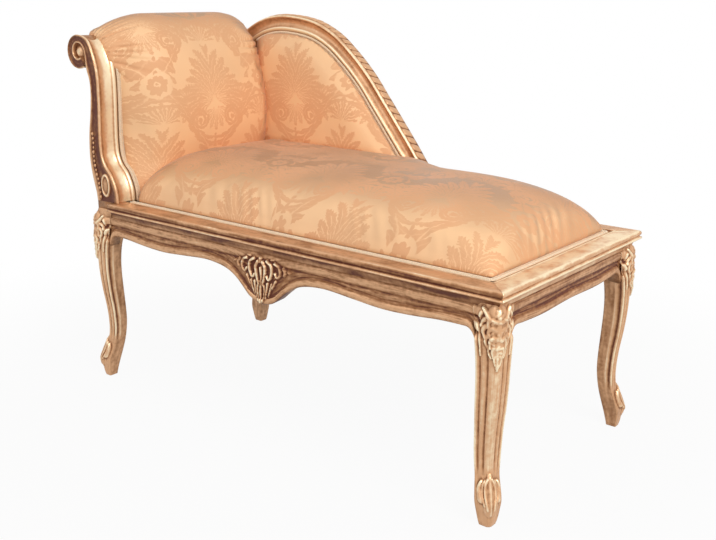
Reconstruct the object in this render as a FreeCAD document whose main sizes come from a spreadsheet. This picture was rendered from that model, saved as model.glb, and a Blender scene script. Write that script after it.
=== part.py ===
import FreeCAD, Part
import math
import os

Vector = FreeCAD.Vector

doc = FreeCAD.newDocument("Recamier")

# Driving dimensions in millimetres.
# The part rests on z = 0. +X is the low foot end, -X the scrolled head end,
# -Y the open front and +Y the swooping back.
DIMENSIONS = {
    "foot_face": 533,          # outer face of the foot rail, from the middle
    "head_face": 483,          # outer face of the head rail, from the middle
    "side_face": 247,          # outer face of the front and rear rails
    "rail_thickness": 22,
    "rail_top": 395,
    "rail_bottom": 336,
    "bead_height": 15,         # bead that runs along a rail's lower edge
    "bead_depth": 4,
    "leg_block": 52,           # square head of each leg
    "block_bottom": 352,
    "tenon_thickness": 10,
    "tenon_length": 20,
    "tenon_setback": 6,        # tenon from the rail's outer face
    "tenon_bottom": 350,
    "tenon_top": 388,
    "frame_top": 411,          # flat top of the show-wood seat frame
    "lip_overhang": 17.5,
    "lip_height": 16,
    "cove_height": 17,
    "border_width": 46,        # polished top from the lip's edge to the cover
    "rebate_depth": 7,
    "rebate_width": 29,
    "apron_middle": 20,        # cartouche, from the middle towards the foot
    "post_outer": 250,         # outer side of each scrolled post
    "post_inner": 186,
    "post_base": 411,
    "volute_radius": 35.5,
    "volute_height": 727,
    "volute_reach": 515,
    "cove_radius": 19,
    "cove_sink": 4.5,
    "gimp_width": 13,
    "gimp_thickness": 2,
    "back_front": 218,         # front face of the swooping rail
    "back_rear": 250,
    "swoop_show": 36,          # moulded width of the swooping rail
    "swoop_width": 60,         # with the band that the cover is tacked to
    "tail_reach": 140,
    "tail_top": 447,
    "seat_rear": 204,
    "pad_foot": 492,
    "pad_head": 386,
    "strap_width": 50,
    "strap_thickness": 1.5,
    "cloth_height": 347,
    "screw_radius": 2.2,
    "screw_head_radius": 4.2,
    "brace_reach": 46,
    "brace_bottom": 352,
    "screw_place": 74,         # screw from the outer face of the other rail
    "screw_grip": 14,
    "screw_depth": 12,
    "screw_height": 372,
    "screw_head_height": 3,
    "stub_low": 20,            # post tenon in the head legs, from the outer faces
    "stub_high": 40,
    "stub_length": 35,
    "web_height": 404,
    "cartouche_depth": 9,
    "eye_radius": 13,
    "eye_depth": 3,
    "medallion_reach": 449,    # oval boss on each post's foot
    "medallion_height": 447,
    "medallion_tall": 25,
    "medallion_wide": 13,
    "cove_middle": 225,
    "top_rail_radius": 30,
    "head_rail_face": 461.2,
    "head_rail_back": 479,
    "head_rail_height": 39,
    "head_tenon": 14,
    "head_tenon_height": 24,
    "top_tenon_reach": 520,
    "top_tenon_low": 714,
    "low_tenon_reach": 475,
    "low_tenon_low": 418,
    "back_rail_height": 34,
    "hessian_low": 407.4,
    "hessian_thickness": 0.8,
    "hessian_reach": 429,      # towards the head, from the middle
    "hessian_length": 930,
    "hessian_half": 215,
    "seat_gimp_low": 408.4,
    "seat_gimp_thickness": 3.6,
    "back_seat_gap": 2,        # between the seat pad and the back pad
    "play": 0.3,               # room left between covers and show wood
    "cut_spare": 5,            # how far a cutting sketch stands clear of its piece
    "post_flare": 411.5,
    "flare_top": 500,          # height over which the posts' feet flare
    "back_panel": 3,
}

# Cabriole leg: stations up the leg, each with the outer and the inner
# silhouette along the leg's own diagonal and the rounding of its outer corner.
LEG_STATIONS = (
    ("sole", 0, 10, -16, 8),
    ("toe_tip", 10, 13, -18.5, 9),
    ("toe", 26, 15, -23, 10),
    ("toe_crown", 42, 15.5, -28, 10),
    ("instep", 60, 9, -33.5, 10),
    ("ankle_low", 82, 0, -39.5, 10),
    ("ankle", 106, -4.5, -44, 11),
    ("shin_low", 132, -5, -46.5, 12),
    ("shin", 165, -2.5, -46, 13),
    ("shin_high", 206, 3.5, -44, 14),
    ("calf", 245, 7.5, -42.5, 14),
    ("knee_low", 280, 9, -43.5, 13),
    ("knee", 316, 9, -49, 12),
    ("knee_high", 350, 7, -62, 10),
    ("shoulder", 374, 5, -66, 9),
)

sheet = doc.addObject("Spreadsheet::Sheet", "Sizes")
sheet.Label = "Sizes"


def store(row, alias, value):
    """Write one driving dimension into the sheet."""
    sheet.set("A%d" % row, alias)
    sheet.set("B%d" % row, str(value))
    sheet.setAlias("B%d" % row, alias)


for row, (alias, value) in enumerate(DIMENSIONS.items(), start=1):
    store(row, alias, value)

for step, (station, height, outer, inner, rounding) in enumerate(LEG_STATIONS):
    row = len(DIMENSIONS) + 1 + 4 * step
    store(row, station + "_height", height)
    store(row + 1, station + "_outer", outer)
    store(row + 2, station + "_inner", inner)
    store(row + 3, station + "_rounding", rounding)

doc.recompute()


def size(alias):
    """A driving dimension as a plain number of millimetres."""
    return float(sheet.get(alias))


def bind(feature, **formulas):
    """Bind properties of a feature to the sheet; a formula uses bare aliases."""
    for name, formula in formulas.items():
        feature.setExpression(name.replace("__", "."), formula)


def ref(alias):
    """The alias as an expression writes it."""
    return "Sizes." + alias


def new_body(name):
    body = doc.addObject("PartDesign::Body", name)
    body.Label = name
    return body


def plane_of(body, role):
    return next(item for item in body.Origin.OriginFeatures if item.Role == role)


def new_sketch(body, role, offset=None):
    """Sketch on an origin plane, moved along its normal by a formula."""
    sketch = body.newObject("Sketcher::SketchObject", body.Name + "_sketch")
    sketch.AttachmentSupport = [(plane_of(body, role), "")]
    sketch.MapMode = "FlatFace"
    if offset:
        sketch.setExpression("AttachmentOffset.Base.z", offset)
    return sketch


def flat(point):
    return Vector(point[0], point[1], 0)


def draw_lines(sketch, points, close=False):
    ends = points[1:] + points[:1] if close else points[1:]
    for start, end in zip(points, ends):
        sketch.addGeometry(Part.LineSegment(flat(start), flat(end)), False)


def spline_through(points):
    curve = Part.BSplineCurve()
    curve.interpolate([flat(point) for point in points])
    return curve


def draw_spline(sketch, points):
    sketch.addGeometry(spline_through(points), False)


def draw_arc(sketch, start, middle, end):
    sketch.addGeometry(Part.Arc(flat(start), flat(middle), flat(end)), False)


def draw_circle(sketch, centre, radius):
    sketch.addGeometry(Part.Circle(flat(centre), Vector(0, 0, 1), radius), False)


def draw_polygon(sketch, centre, radius, count=16):
    """Round section with few faces."""
    turns = [2 * math.pi * step / count for step in range(count)]
    draw_lines(sketch, [(centre[0] + radius * math.cos(turn), centre[1] + radius * math.sin(turn))
                        for turn in turns], close=True)


def add_pad(body, sketch, length):
    pad = body.newObject("PartDesign::Pad", body.Name + "_pad")
    pad.Profile = sketch
    pad.setExpression("Length", length)
    return pad


def add_pocket(body, sketch, length, towards_normal=False):
    pocket = body.newObject("PartDesign::Pocket", body.Name + "_pocket")
    pocket.Profile = sketch
    pocket.setExpression("Length", length)
    pocket.Reversed = towards_normal
    return pocket


def add_box(body, low, extent, cut=False):
    """A box from its low corner and its lengths, all given as formulas."""
    kind = "PartDesign::SubtractiveBox" if cut else "PartDesign::AdditiveBox"
    box = body.newObject(kind, body.Name + ("_recess" if cut else "_block"))
    for name, formula in zip(("Length", "Width", "Height"), extent):
        box.setExpression(name, formula)
    for axis, formula in zip("xyz", low):
        box.setExpression("Placement.Base." + axis, formula)
    return box


def add_loft(body, sketches, ruled=False):
    loft = body.newObject("PartDesign::AdditiveLoft", body.Name + "_loft")
    loft.Profile = sketches[0]
    loft.Sections = sketches[1:]
    loft.Ruled = ruled
    return loft


def offset_points(points, distance, count):
    """Points beside a curve: positive distances lie to the right of its run."""
    curve = spline_through(points)
    low, high = curve.FirstParameter, curve.LastParameter
    moved = []
    for step in range(count):
        at = low + (high - low) * step / (count - 1.0)
        run = curve.tangent(at)[0]
        place = curve.value(at)
        moved.append((place.x + run.y * distance, place.y - run.x * distance))
    return moved


# Legs

LEG_CORNERS = {
    "leg_foot_rear": ("Sizes.foot_face", "Sizes.side_face", 0),
    "leg_head_rear": ("-Sizes.head_face", "Sizes.side_face", 90),
    "leg_head_front": ("-Sizes.head_face", "-Sizes.side_face", 180),
    "leg_foot_front": ("Sizes.foot_face", "-Sizes.side_face", 270),
}
GROOVE_LOW = 70
GROOVE_HIGH = 335
GROOVE_DEEP = 2.6
GROOVE_FADED = 0.3
GROOVE_STEPS = (0.14, 0.22, 0.34)
HALF_TURN = math.sqrt(0.5)
CORNER_LOSS = math.sqrt(2) - 1
RIDGE_HALF = 0.35              # half width of the ridge, as a part of its rounding


def on_diagonal(along, across):
    """Leg plan point from its places along and across the leg's diagonal."""
    return ((along - across) * HALF_TURN, (along + across) * HALF_TURN)


def leg_face(tip, middle, half, rounding, side, depth):
    """One outer face, from its side corner to the rounded ridge: a groove near
    the side corner, then plain up to where the rounding starts."""
    length = half * math.sqrt(2)
    points = []
    sinks = (0, depth, 0)
    for part, sink in zip((0,) + GROOVE_STEPS, (0,) + sinks):
        along = middle + part * length * HALF_TURN - sink * HALF_TURN
        across = half - part * length * HALF_TURN - sink * HALF_TURN
        points.append(on_diagonal(along, side * across))
    edge = rounding * HALF_TURN
    points.append(on_diagonal(tip - edge, side * edge))
    return points


def draw_leg_section(sketch, station):
    """Square set on its diagonal, with a broad flat ridge at the outer corner."""
    outer = size(station + "_outer")
    inner = size(station + "_inner")
    rounding = size(station + "_rounding")
    height = size(station + "_height")
    tip = outer + CORNER_LOSS * rounding
    half = (tip - inner) / 2
    middle = (tip + inner) / 2
    grooved = GROOVE_LOW < height < GROOVE_HIGH
    depth = GROOVE_DEEP if grooved else GROOVE_FADED
    left = leg_face(tip, middle, half, rounding, 1, depth)
    right = leg_face(tip, middle, half, rounding, -1, depth)
    ridge = [on_diagonal(outer, side * RIDGE_HALF * rounding) for side in (1, -1)]
    draw_lines(sketch, left + ridge + right[::-1] + [on_diagonal(inner, 0)], close=True)


def make_leg(name, place_x, place_y, turn):
    """Cabriole leg: lofted from sole to shoulder, with a square mortised head."""
    body = new_body(name)
    sections = []
    for station in LEG_STATIONS:
        sketch = new_sketch(body, "XY_Plane", ref(station[0] + "_height"))
        draw_leg_section(sketch, station[0])
        sections.append(sketch)
    doc.recompute()
    add_loft(body, sections)
    block = ("-Sizes.leg_block", "-Sizes.leg_block", "Sizes.block_bottom")
    add_box(body, block, ("Sizes.leg_block", "Sizes.leg_block",
                          "Sizes.rail_top - Sizes.block_bottom"))
    near = "-Sizes.tenon_setback - Sizes.tenon_thickness"
    tall = "Sizes.tenon_top - Sizes.tenon_bottom"
    add_box(body, ("-Sizes.leg_block", near, "Sizes.tenon_bottom"),
            ("Sizes.tenon_length", "Sizes.tenon_thickness", tall), cut=True)
    add_box(body, (near, "-Sizes.leg_block", "Sizes.tenon_bottom"),
            ("Sizes.tenon_thickness", "Sizes.tenon_length", tall), cut=True)
    if "head" in name:
        low = ("-Sizes.stub_high", "-Sizes.stub_high", "Sizes.rail_top - Sizes.stub_length")
        side = "Sizes.stub_high - Sizes.stub_low"
        add_box(body, low, (side, side, "Sizes.stub_length"), cut=True)
    bind(body, Placement__Base__x=place_x, Placement__Base__y=place_y)
    body.Placement.Rotation = FreeCAD.Rotation(Vector(0, 0, 1), turn)
    return body


# Rails

# Lower edge of the front apron, as distance from the cartouche and height
APRON_EDGE = ((0, 276), (15, 279), (33, 287), (53, 304), (73, 319), (97, 330),
              (128, 336), (166, 337.5), (226, 333), (286, 329), (345, 331), (405, 336))
APRON_END = 338
# Plain rails dip a little between the legs: part of the half span and drop
PLAIN_EDGE = ((-1, 0), (-0.5, 4), (0, 1.5), (0.5, 4), (1, 0))
# Half outline of the raised cartouche, from its crest down to its tip
CARTOUCHE = ((0, 377), (26, 370), (48, 376), (74, 371), (82, 356), (64, 342),
             (54, 322), (36, 304), (18, 292), (0, 284))


def apron_points(low, high):
    middle = size("apron_middle")
    right = [(middle + away, height) for away, height in APRON_EDGE]
    left = [(middle - away, height) for away, height in APRON_EDGE[:0:-1]]
    return [(low, APRON_END)] + left + right + [(high, APRON_END)]


def plain_points(low, high):
    middle = (low + high) / 2.0
    half = (high - low) / 2.0
    edge = size("rail_bottom")
    return [(middle + part * half, edge - drop) for part, drop in PLAIN_EDGE]


def draw_board(sketch, edge, top):
    """Board with a straight top, straight ends and a shaped lower edge."""
    draw_spline(sketch, edge)
    draw_lines(sketch, [edge[-1], (edge[-1][0], top), (edge[0][0], top), edge[0]])


def draw_bead(sketch, edge):
    """Band of even height along the shaped lower edge."""
    upper = [(along, height + size("bead_height")) for along, height in edge]
    draw_spline(sketch, edge)
    draw_lines(sketch, [edge[-1], upper[-1]])
    draw_spline(sketch, upper)
    draw_lines(sketch, [upper[0], edge[0]])


def make_rail(name, plane, board_at, bead_at, edge):
    body = new_body(name)
    board = new_sketch(body, plane, board_at)
    draw_board(board, edge, size("rail_top"))
    doc.recompute()
    add_pad(body, board, "Sizes.rail_thickness")
    bead = new_sketch(body, plane, bead_at)
    draw_bead(bead, edge)
    doc.recompute()
    add_pad(body, bead, "Sizes.bead_depth")
    return body


def add_tenon(body, along_x, low_end, cross_low):
    """Tenon on a rail's end, its low corner given along and across the rail."""
    tall = "Sizes.tenon_top - Sizes.tenon_bottom"
    if along_x:
        add_box(body, (low_end, cross_low, "Sizes.tenon_bottom"),
                ("Sizes.tenon_length", "Sizes.tenon_thickness", tall))
    else:
        add_box(body, (cross_low, low_end, "Sizes.tenon_bottom"),
                ("Sizes.tenon_thickness", "Sizes.tenon_length", tall))


def add_cylinder(body, low, radius, length, turn, cut=False):
    kind = "PartDesign::SubtractiveCylinder" if cut else "PartDesign::AdditiveCylinder"
    cylinder = body.newObject(kind, body.Name + ("_hole" if cut else "_pin"))
    cylinder.setExpression("Radius", radius)
    cylinder.setExpression("Height", length)
    cylinder.Placement.Rotation = turn
    for axis, formula in zip("xyz", low):
        cylinder.setExpression("Placement.Base." + axis, formula)
    return cylinder


ALONG_X = FreeCAD.Rotation(Vector(0, 1, 0), 90)
ALONG_Y = FreeCAD.Rotation(Vector(1, 0, 0), -90)
SCREW_HOLE = "Sizes.screw_depth"


def drill_rail(body, along_x, near_low, near_high, inner_low):
    """Pilot holes for the two corner brace screws of a rail, from its inside."""
    height = "Sizes.screw_height"
    for along in (near_low, near_high):
        low = (along, inner_low, height) if along_x else (inner_low, along, height)
        turn = ALONG_Y if along_x else ALONG_X
        add_cylinder(body, low, "Sizes.screw_radius", SCREW_HOLE, turn, cut=True)


def make_long_rail(name, side):
    """Front or rear rail: side is -1 at the front and 1 at the rear."""
    low = -size("head_face") + size("leg_block")
    high = size("foot_face") - size("leg_block")
    front = side < 0
    board_at = "Sizes.side_face - Sizes.rail_thickness" if front else "-Sizes.side_face"
    bead_at = "Sizes.side_face" if front else "-Sizes.side_face - Sizes.bead_depth"
    edge = apron_points(low, high) if front else plain_points(low, high)
    body = make_rail(name, "XZ_Plane", board_at, bead_at, edge)
    if front:
        add_cartouche(body)
    near = "-Sizes.side_face + Sizes.tenon_setback"
    far = "Sizes.side_face - Sizes.tenon_setback - Sizes.tenon_thickness"
    cross = near if front else far
    add_tenon(body, True, "-Sizes.head_face + Sizes.leg_block - Sizes.tenon_length", cross)
    add_tenon(body, True, "Sizes.foot_face - Sizes.leg_block", cross)
    inside = "-Sizes.side_face + Sizes.rail_thickness - Sizes.screw_depth"
    if not front:
        inside = "Sizes.side_face - Sizes.rail_thickness"
    drill_rail(body, True, "-Sizes.head_face + Sizes.screw_place",
               "Sizes.foot_face - Sizes.screw_place", inside)
    return body


def add_cartouche(body):
    """Raised lobed cartouche in the middle of the front apron."""
    middle = size("apron_middle")
    right = [(middle + away, height) for away, height in CARTOUCHE]
    left = [(middle - away, height) for away, height in CARTOUCHE[::-1]]
    sketch = new_sketch(body, "XZ_Plane", "Sizes.side_face")
    draw_spline(sketch, right)
    draw_spline(sketch, left)
    doc.recompute()
    add_pad(body, sketch, "Sizes.cartouche_depth")


def make_end_rail(name, side):
    """Foot rail (side 1) or head rail (side -1), between the legs."""
    reach = size("side_face") - size("leg_block")
    foot = side > 0
    board_at = "Sizes.foot_face - Sizes.rail_thickness" if foot else "-Sizes.head_face"
    bead_at = "Sizes.foot_face" if foot else "-Sizes.head_face - Sizes.bead_depth"
    edge = plain_points(-reach, reach)
    body = make_rail(name, "YZ_Plane", board_at, bead_at, edge)
    near = "-Sizes.head_face + Sizes.tenon_setback"
    far = "Sizes.foot_face - Sizes.tenon_setback - Sizes.tenon_thickness"
    cross = far if foot else near
    add_tenon(body, False, "-Sizes.side_face + Sizes.leg_block - Sizes.tenon_length", cross)
    add_tenon(body, False, "Sizes.side_face - Sizes.leg_block", cross)
    inside = "Sizes.foot_face - Sizes.rail_thickness"
    if not foot:
        inside = "-Sizes.head_face + Sizes.rail_thickness - Sizes.screw_depth"
    drill_rail(body, False, "-Sizes.side_face + Sizes.screw_place",
               "Sizes.side_face - Sizes.screw_place", inside)
    if not foot:
        raised = "Sizes.web_height - Sizes.rail_top"
        add_box(body, ("-Sizes.head_face", "-Sizes.post_inner + 0.5", "Sizes.rail_top"),
                ("Sizes.rail_thickness", "2 * Sizes.post_inner - 1", raised))
    return body


# Show-wood frame on top of the rails


def lip_profile(outward, edge):
    """Section of the frame's moulding: points run from the foot of the cove up
    over the double bead, across the flat top and back under the rebate."""
    def at(inward, height):
        return (edge - outward * inward, height)

    over = size("lip_overhang")
    top = size("frame_top")
    under = size("rail_top")
    border = size("border_width")
    inside = border + size("rebate_width")
    rebate = top - size("rebate_depth")
    cove_low = under - size("cove_height")
    cove = [at(over - 2, cove_low), at(over - 5, under - 6), at(6.5, under - 2)]
    fillet = [at(3, under - 1.5), at(0, under + 1.5), at(3, under + 4.5)]
    bead = [at(4, under + 5), at(1.2, under + 10), at(6, top)]
    tail = [at(border - 5, top), at(border - 5, top - 1.2), at(border, top - 1.2),
            at(border, rebate), at(inside, rebate), at(inside, under),
            at(over, under), at(over, cove_low), cove[0]]
    return cove, fillet, bead, tail


def draw_lip(sketch, outward, edge):
    cove, fillet, bead, tail = lip_profile(outward, edge)
    draw_arc(sketch, *cove)
    draw_lines(sketch, [cove[-1], fillet[0]])
    draw_arc(sketch, *fillet)
    draw_lines(sketch, [fillet[-1], bead[0]])
    draw_arc(sketch, *bead)
    draw_lines(sketch, [bead[-1]] + tail)


def cut_mitre(body, corner, long_piece):
    """Cut a mitre from the frame's outer corner inwards, on the far side of a
    long piece or of the foot piece."""
    spare = size("cut_spare")
    reach = size("border_width") + size("rebate_width") + 7 * spare
    sign = [math.copysign(1, place) for place in corner]
    start = [place + side * spare for place, side in zip(corner, sign)]
    end = [place - side * reach for place, side in zip(corner, sign)]
    waste = (start[0], end[1]) if long_piece else (end[0], start[1])
    sketch = new_sketch(body, "XY_Plane", "Sizes.frame_top + Sizes.cut_spare")
    draw_lines(sketch, [start, end, waste], close=True)
    doc.recompute()
    add_pocket(body, sketch, "Sizes.lip_height + Sizes.cove_height + 4 * Sizes.cut_spare")


def make_long_lip(name, side):
    edge = side * (size("side_face") + size("lip_overhang"))
    body = new_body(name)
    sketch = new_sketch(body, "YZ_Plane", "-Sizes.head_face + Sizes.leg_block")
    draw_lip(sketch, side, edge)
    doc.recompute()
    add_pad(body, sketch, "Sizes.head_face - Sizes.leg_block + Sizes.foot_face"
                          " + Sizes.lip_overhang")
    foot = size("foot_face") + size("lip_overhang")
    cut_mitre(body, (foot, edge), long_piece=True)
    return body


def make_foot_lip(name):
    edge = size("foot_face") + size("lip_overhang")
    side = size("side_face") + size("lip_overhang")
    body = new_body(name)
    sketch = new_sketch(body, "XZ_Plane", "-Sizes.side_face - Sizes.lip_overhang")
    draw_lip(sketch, 1, edge)
    doc.recompute()
    add_pad(body, sketch, "2 * (Sizes.side_face + Sizes.lip_overhang)")
    for corner_side in (side, -side):
        cut_mitre(body, (edge, corner_side), long_piece=False)
    return body


# Corner braces and their screws


def make_brace(name, place_x, place_y, turn):
    """Glue block that fits round the inside of a leg, screwed to both rails."""
    body = new_body(name)
    block = -size("leg_block")
    rail = -size("rail_thickness")
    reach = block - size("brace_reach")
    sketch = new_sketch(body, "XY_Plane", "Sizes.brace_bottom")
    draw_lines(sketch, [(block, rail), (reach, rail), (rail, reach), (rail, block),
                        (block, block)], close=True)
    doc.recompute()
    add_pad(body, sketch, "Sizes.rail_top - Sizes.brace_bottom")
    reach = "-Sizes.screw_place"
    start = "-Sizes.rail_thickness - Sizes.screw_grip"
    height = "Sizes.screw_height"
    deep = "Sizes.screw_place"
    for low, turn_to in (((reach, start, height), ALONG_Y), ((start, reach, height), ALONG_X)):
        add_cylinder(body, low, "Sizes.screw_radius", "Sizes.screw_grip", turn_to, cut=True)
    back = "-Sizes.rail_thickness - Sizes.screw_grip - " + deep
    for low, turn_to in (((reach, back, height), ALONG_Y), ((back, reach, height), ALONG_X)):
        add_cylinder(body, low, "Sizes.screw_head_radius + 0.3", deep, turn_to, cut=True)
    bind(body, Placement__Base__x=place_x, Placement__Base__y=place_y)
    body.Placement.Rotation = FreeCAD.Rotation(Vector(0, 0, 1), turn)
    return body


def make_screws(name):
    """Two countersunk wood screws in each corner brace, as separate solids."""
    grip = size("rail_thickness") + size("screw_grip")
    depth = size("screw_grip") + size("screw_depth")
    head = size("screw_head_height")
    place = size("screw_place")
    height = size("screw_height")
    solids = []
    for place_x, place_y, turn in LEG_CORNERS.values():
        corner = Vector(size("foot_face") if place_x[0] != "-" else -size("head_face"),
                        size("side_face") * (1 if place_y[0] != "-" else -1), 0)
        spin = FreeCAD.Placement(corner, FreeCAD.Rotation(Vector(0, 0, 1), turn))
        for start, run in ((Vector(-place, -grip, height), Vector(0, 1, 0)),
                           (Vector(-grip, -place, height), Vector(1, 0, 0))):
            shank = Part.makeCylinder(size("screw_radius"), depth - 1, start, run)
            top = Part.makeCylinder(size("screw_head_radius"), head, start - run * head, run)
            screw = shank.fuse(top).removeSplitter()
            screw.Placement = spin
            solids.append(screw)
    feature = doc.addObject("Part::Feature", name)
    feature.Shape = Part.makeCompound(solids)
    return feature


# Scrolled posts at the head end

# Outer edge of a post, from the leg up to the volute, then its inner edge
# from the volute's crown down to the flared foot on the seat frame
POST_OUTER = ((-483, 395), (-485, 428), (-492, 452), (-497, 478), (-499, 506),
              (-498, 533), (-494, 566), (-486, 598), (-481, 630), (-480, 660), (-485, 681))
POST_INNER = ((-497, 760), (-482, 753), (-471, 738), (-462, 717), (-457, 698),
              (-454, 670), (-455, 620), (-458, 570), (-459, 535), (-457, 510),
              (-448, 490), (-431, 473), (-419, 452), (-413, 432), (-412, 411))
VOLUTE_START = -55
VOLUTE_END = 90


def on_volute(degrees, radius):
    angle = math.radians(degrees)
    return (-size("volute_reach") + radius * math.cos(angle),
            size("volute_height") + radius * math.sin(angle))


def draw_post(sketch):
    """Side outline of a scrolled post: S-shaped shaft under a round volute."""
    radius = size("volute_radius")
    volute = [on_volute(VOLUTE_START, radius), on_volute(180, radius),
              on_volute(VOLUTE_END, radius)]
    notch = -size("head_face") + size("leg_block")
    draw_spline(sketch, list(POST_OUTER) + [volute[0]])
    draw_arc(sketch, *volute)
    draw_spline(sketch, [volute[-1]] + list(POST_INNER))
    draw_lines(sketch, [POST_INNER[-1], (notch, size("post_base")),
                        (notch, size("rail_top")), POST_OUTER[0]])


def inner_edge(distance, count=16):
    """Points beside a post's inner edge, from its foot up to the crown."""
    edge = [on_volute(VOLUTE_END, size("volute_radius"))] + list(POST_INNER)
    return offset_points(edge[::-1], distance, count)


def make_post(name, side):
    """side is -1 for the front post, whose outer face is seen, and 1 behind."""
    front = side < 0
    body = new_body(name)
    outline = new_sketch(body, "XZ_Plane",
                         "Sizes.post_inner" if front else "-Sizes.post_outer")
    draw_post(outline)
    doc.recompute()
    add_pad(body, outline, "Sizes.post_outer - Sizes.post_inner")
    eye = new_sketch(body, "XZ_Plane", "Sizes.post_outer" if front
                     else "-Sizes.post_outer - Sizes.eye_depth")
    draw_circle(eye, on_volute(0, 0), size("eye_radius"))
    reach = -size("medallion_reach")
    height = size("medallion_height")
    medallion = Part.Ellipse(Vector(reach, height + size("medallion_tall"), 0),
                             Vector(reach - size("medallion_wide"), height, 0),
                             Vector(reach, height, 0))
    eye.addGeometry(medallion, False)
    doc.recompute()
    add_pad(body, eye, "Sizes.eye_depth")
    add_cove(body, side)
    low = "-Sizes.head_face + Sizes.stub_low"
    span = "Sizes.stub_high - Sizes.stub_low"
    across = "-Sizes.side_face + Sizes.stub_low" if front else "Sizes.side_face - Sizes.stub_high"
    add_box(body, (low, across, "Sizes.rail_top - Sizes.stub_length"),
            (span, span, "Sizes.stub_length"))
    for reach, bottom in (("Sizes.top_tenon_reach", "Sizes.top_tenon_low"),
                          ("Sizes.low_tenon_reach", "Sizes.low_tenon_low")):
        inside = "-Sizes.post_inner - Sizes.head_tenon" if front else "Sizes.post_inner"
        add_box(body, ("-" + reach, inside, bottom),
                ("Sizes.tenon_thickness", "Sizes.head_tenon", "Sizes.head_tenon_height"),
                cut=True)
    return body


def add_cove(body, side):
    """Hollow that runs up the post's inner face between two beads."""
    path = new_sketch(body, "XZ_Plane", "%d * Sizes.cove_middle" % -side)
    run = inner_edge(size("cove_radius") - size("cove_sink"))
    draw_spline(path, run)
    section = new_sketch(body, "XY_Plane", "Sizes.post_base")
    draw_polygon(section, (run[0][0], side * size("cove_middle")), size("cove_radius"))
    doc.recompute()
    cove = body.newObject("PartDesign::SubtractivePipe", body.Name + "_cove")
    cove.Profile = section
    cove.Spine = (path, ["Edge1"])


# Head rails, stuffing and covers between the posts


def make_head_top_rail(name):
    """Rounded rail between the volutes, which carries the rolled pad."""
    radius = size("top_rail_radius")
    face = -size("head_rail_face")
    body = new_body(name)
    sketch = new_sketch(body, "XZ_Plane", "-Sizes.post_inner")
    draw_arc(sketch, on_volute(-90, radius), on_volute(180, radius), on_volute(90, radius))
    crown = on_volute(90, radius)
    foot = on_volute(-90, radius)
    draw_lines(sketch, [crown, (face - 16, 745), (face, 720), (face, 690), (face - 19, 690), foot])
    doc.recompute()
    add_pad(body, sketch, "2 * Sizes.post_inner")
    for across in ("-Sizes.post_inner - Sizes.head_tenon", "Sizes.post_inner"):
        add_box(body, ("-Sizes.top_tenon_reach", across, "Sizes.top_tenon_low"),
                ("Sizes.tenon_thickness", "Sizes.head_tenon", "Sizes.head_tenon_height"))
    return body


def make_head_bottom_rail(name):
    body = new_body(name)
    add_box(body, ("-Sizes.head_rail_back", "-Sizes.post_inner", "Sizes.frame_top"),
            ("Sizes.head_rail_back - Sizes.head_rail_face", "2 * Sizes.post_inner",
             "Sizes.head_rail_height"))
    for across in ("-Sizes.post_inner - Sizes.head_tenon", "Sizes.post_inner"):
        add_box(body, ("-Sizes.low_tenon_reach", across, "Sizes.low_tenon_low"),
                ("Sizes.tenon_thickness", "Sizes.head_tenon", "Sizes.head_tenon_height"))
    return body


def make_straps(name, boxes):
    """Webbing straps as separate solids, each from its low and high corners."""
    feature = doc.addObject("Part::Feature", name)
    straps = []
    for low, high in boxes:
        extent = [top - bottom for bottom, top in zip(low, high)]
        straps.append(Part.makeBox(*extent, Vector(*low)))
    feature.Shape = Part.makeCompound(straps)
    return feature


def head_straps():
    half = size("strap_width") / 2
    face = -size("head_rail_face") + 0.2
    low = size("frame_top") + 4
    return [((face, middle - half, low), (face + size("strap_thickness"), middle + half, 717))
            for middle in (-132, -44, 44, 132)]


# Front of the rolled head pad, from the seat up, over the top and down outside
HEAD_PAD_FRONT = ((-394, 414), (-390, 452), (-386, 495), (-373, 545), (-369, 592),
                  (-376, 642), (-391, 695), (-411, 745), (-439, 786), (-476, 808),
                  (-513, 806), (-538, 791), (-548, 768), (-549, 752))


# How far the pad's ends draw in: distance from the middle and inset
HEAD_PAD_ENDS = ((-184.5, 24), (-180.5, 12), (-170, 4), (-154, 0),
                 (154, 0), (170, 4), (180.5, 12), (184.5, 24))
HEAD_PAD_STEPS = 26


def draw_head_pad(sketch, inset):
    """Side outline of the rolled pad, hollowed behind for webbing and top rail."""
    face = -size("head_rail_face") + 2
    radius = size("top_rail_radius") + 1.8
    front = offset_points(HEAD_PAD_FRONT, -inset, HEAD_PAD_STEPS)
    hollow = [on_volute(turn, radius) for turn in (140, 128, 115, 102, 90)]
    foot = HEAD_PAD_FRONT[0][1]
    draw_lines(sketch, front + hollow + [(face - 14, 747), (face, 719), (face, foot)], close=True)


def make_head_pad(name):
    """Fat stuffed pad that leans on the head and rolls over its top rail."""
    body = new_body(name)
    sections = []
    for across, inset in HEAD_PAD_ENDS:
        sketch = new_sketch(body, "XZ_Plane", "%.1f" % -across)
        draw_head_pad(sketch, inset)
        sections.append(sketch)
    doc.recompute()
    add_loft(body, sections, ruled=True)
    return body


def draw_strip(sketch, points, near, far, count):
    """Even band beside a curve, between two distances from it."""
    inside = offset_points(points, near, count)
    outside = offset_points(points, far, count)
    draw_lines(sketch, inside + outside[::-1], close=True)


def make_head_outside_panel(name):
    """Covered outer side of the head, set just inside the posts' outer edge."""
    body = new_body(name)
    sketch = new_sketch(body, "XZ_Plane", "-Sizes.post_inner + Sizes.play")
    draw_strip(sketch, ((-483.5, 413),) + POST_OUTER[1:], 1, 1 + size("back_panel"), 24)
    doc.recompute()
    add_pad(body, sketch, "2 * (Sizes.post_inner - Sizes.play)")
    return body


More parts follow.
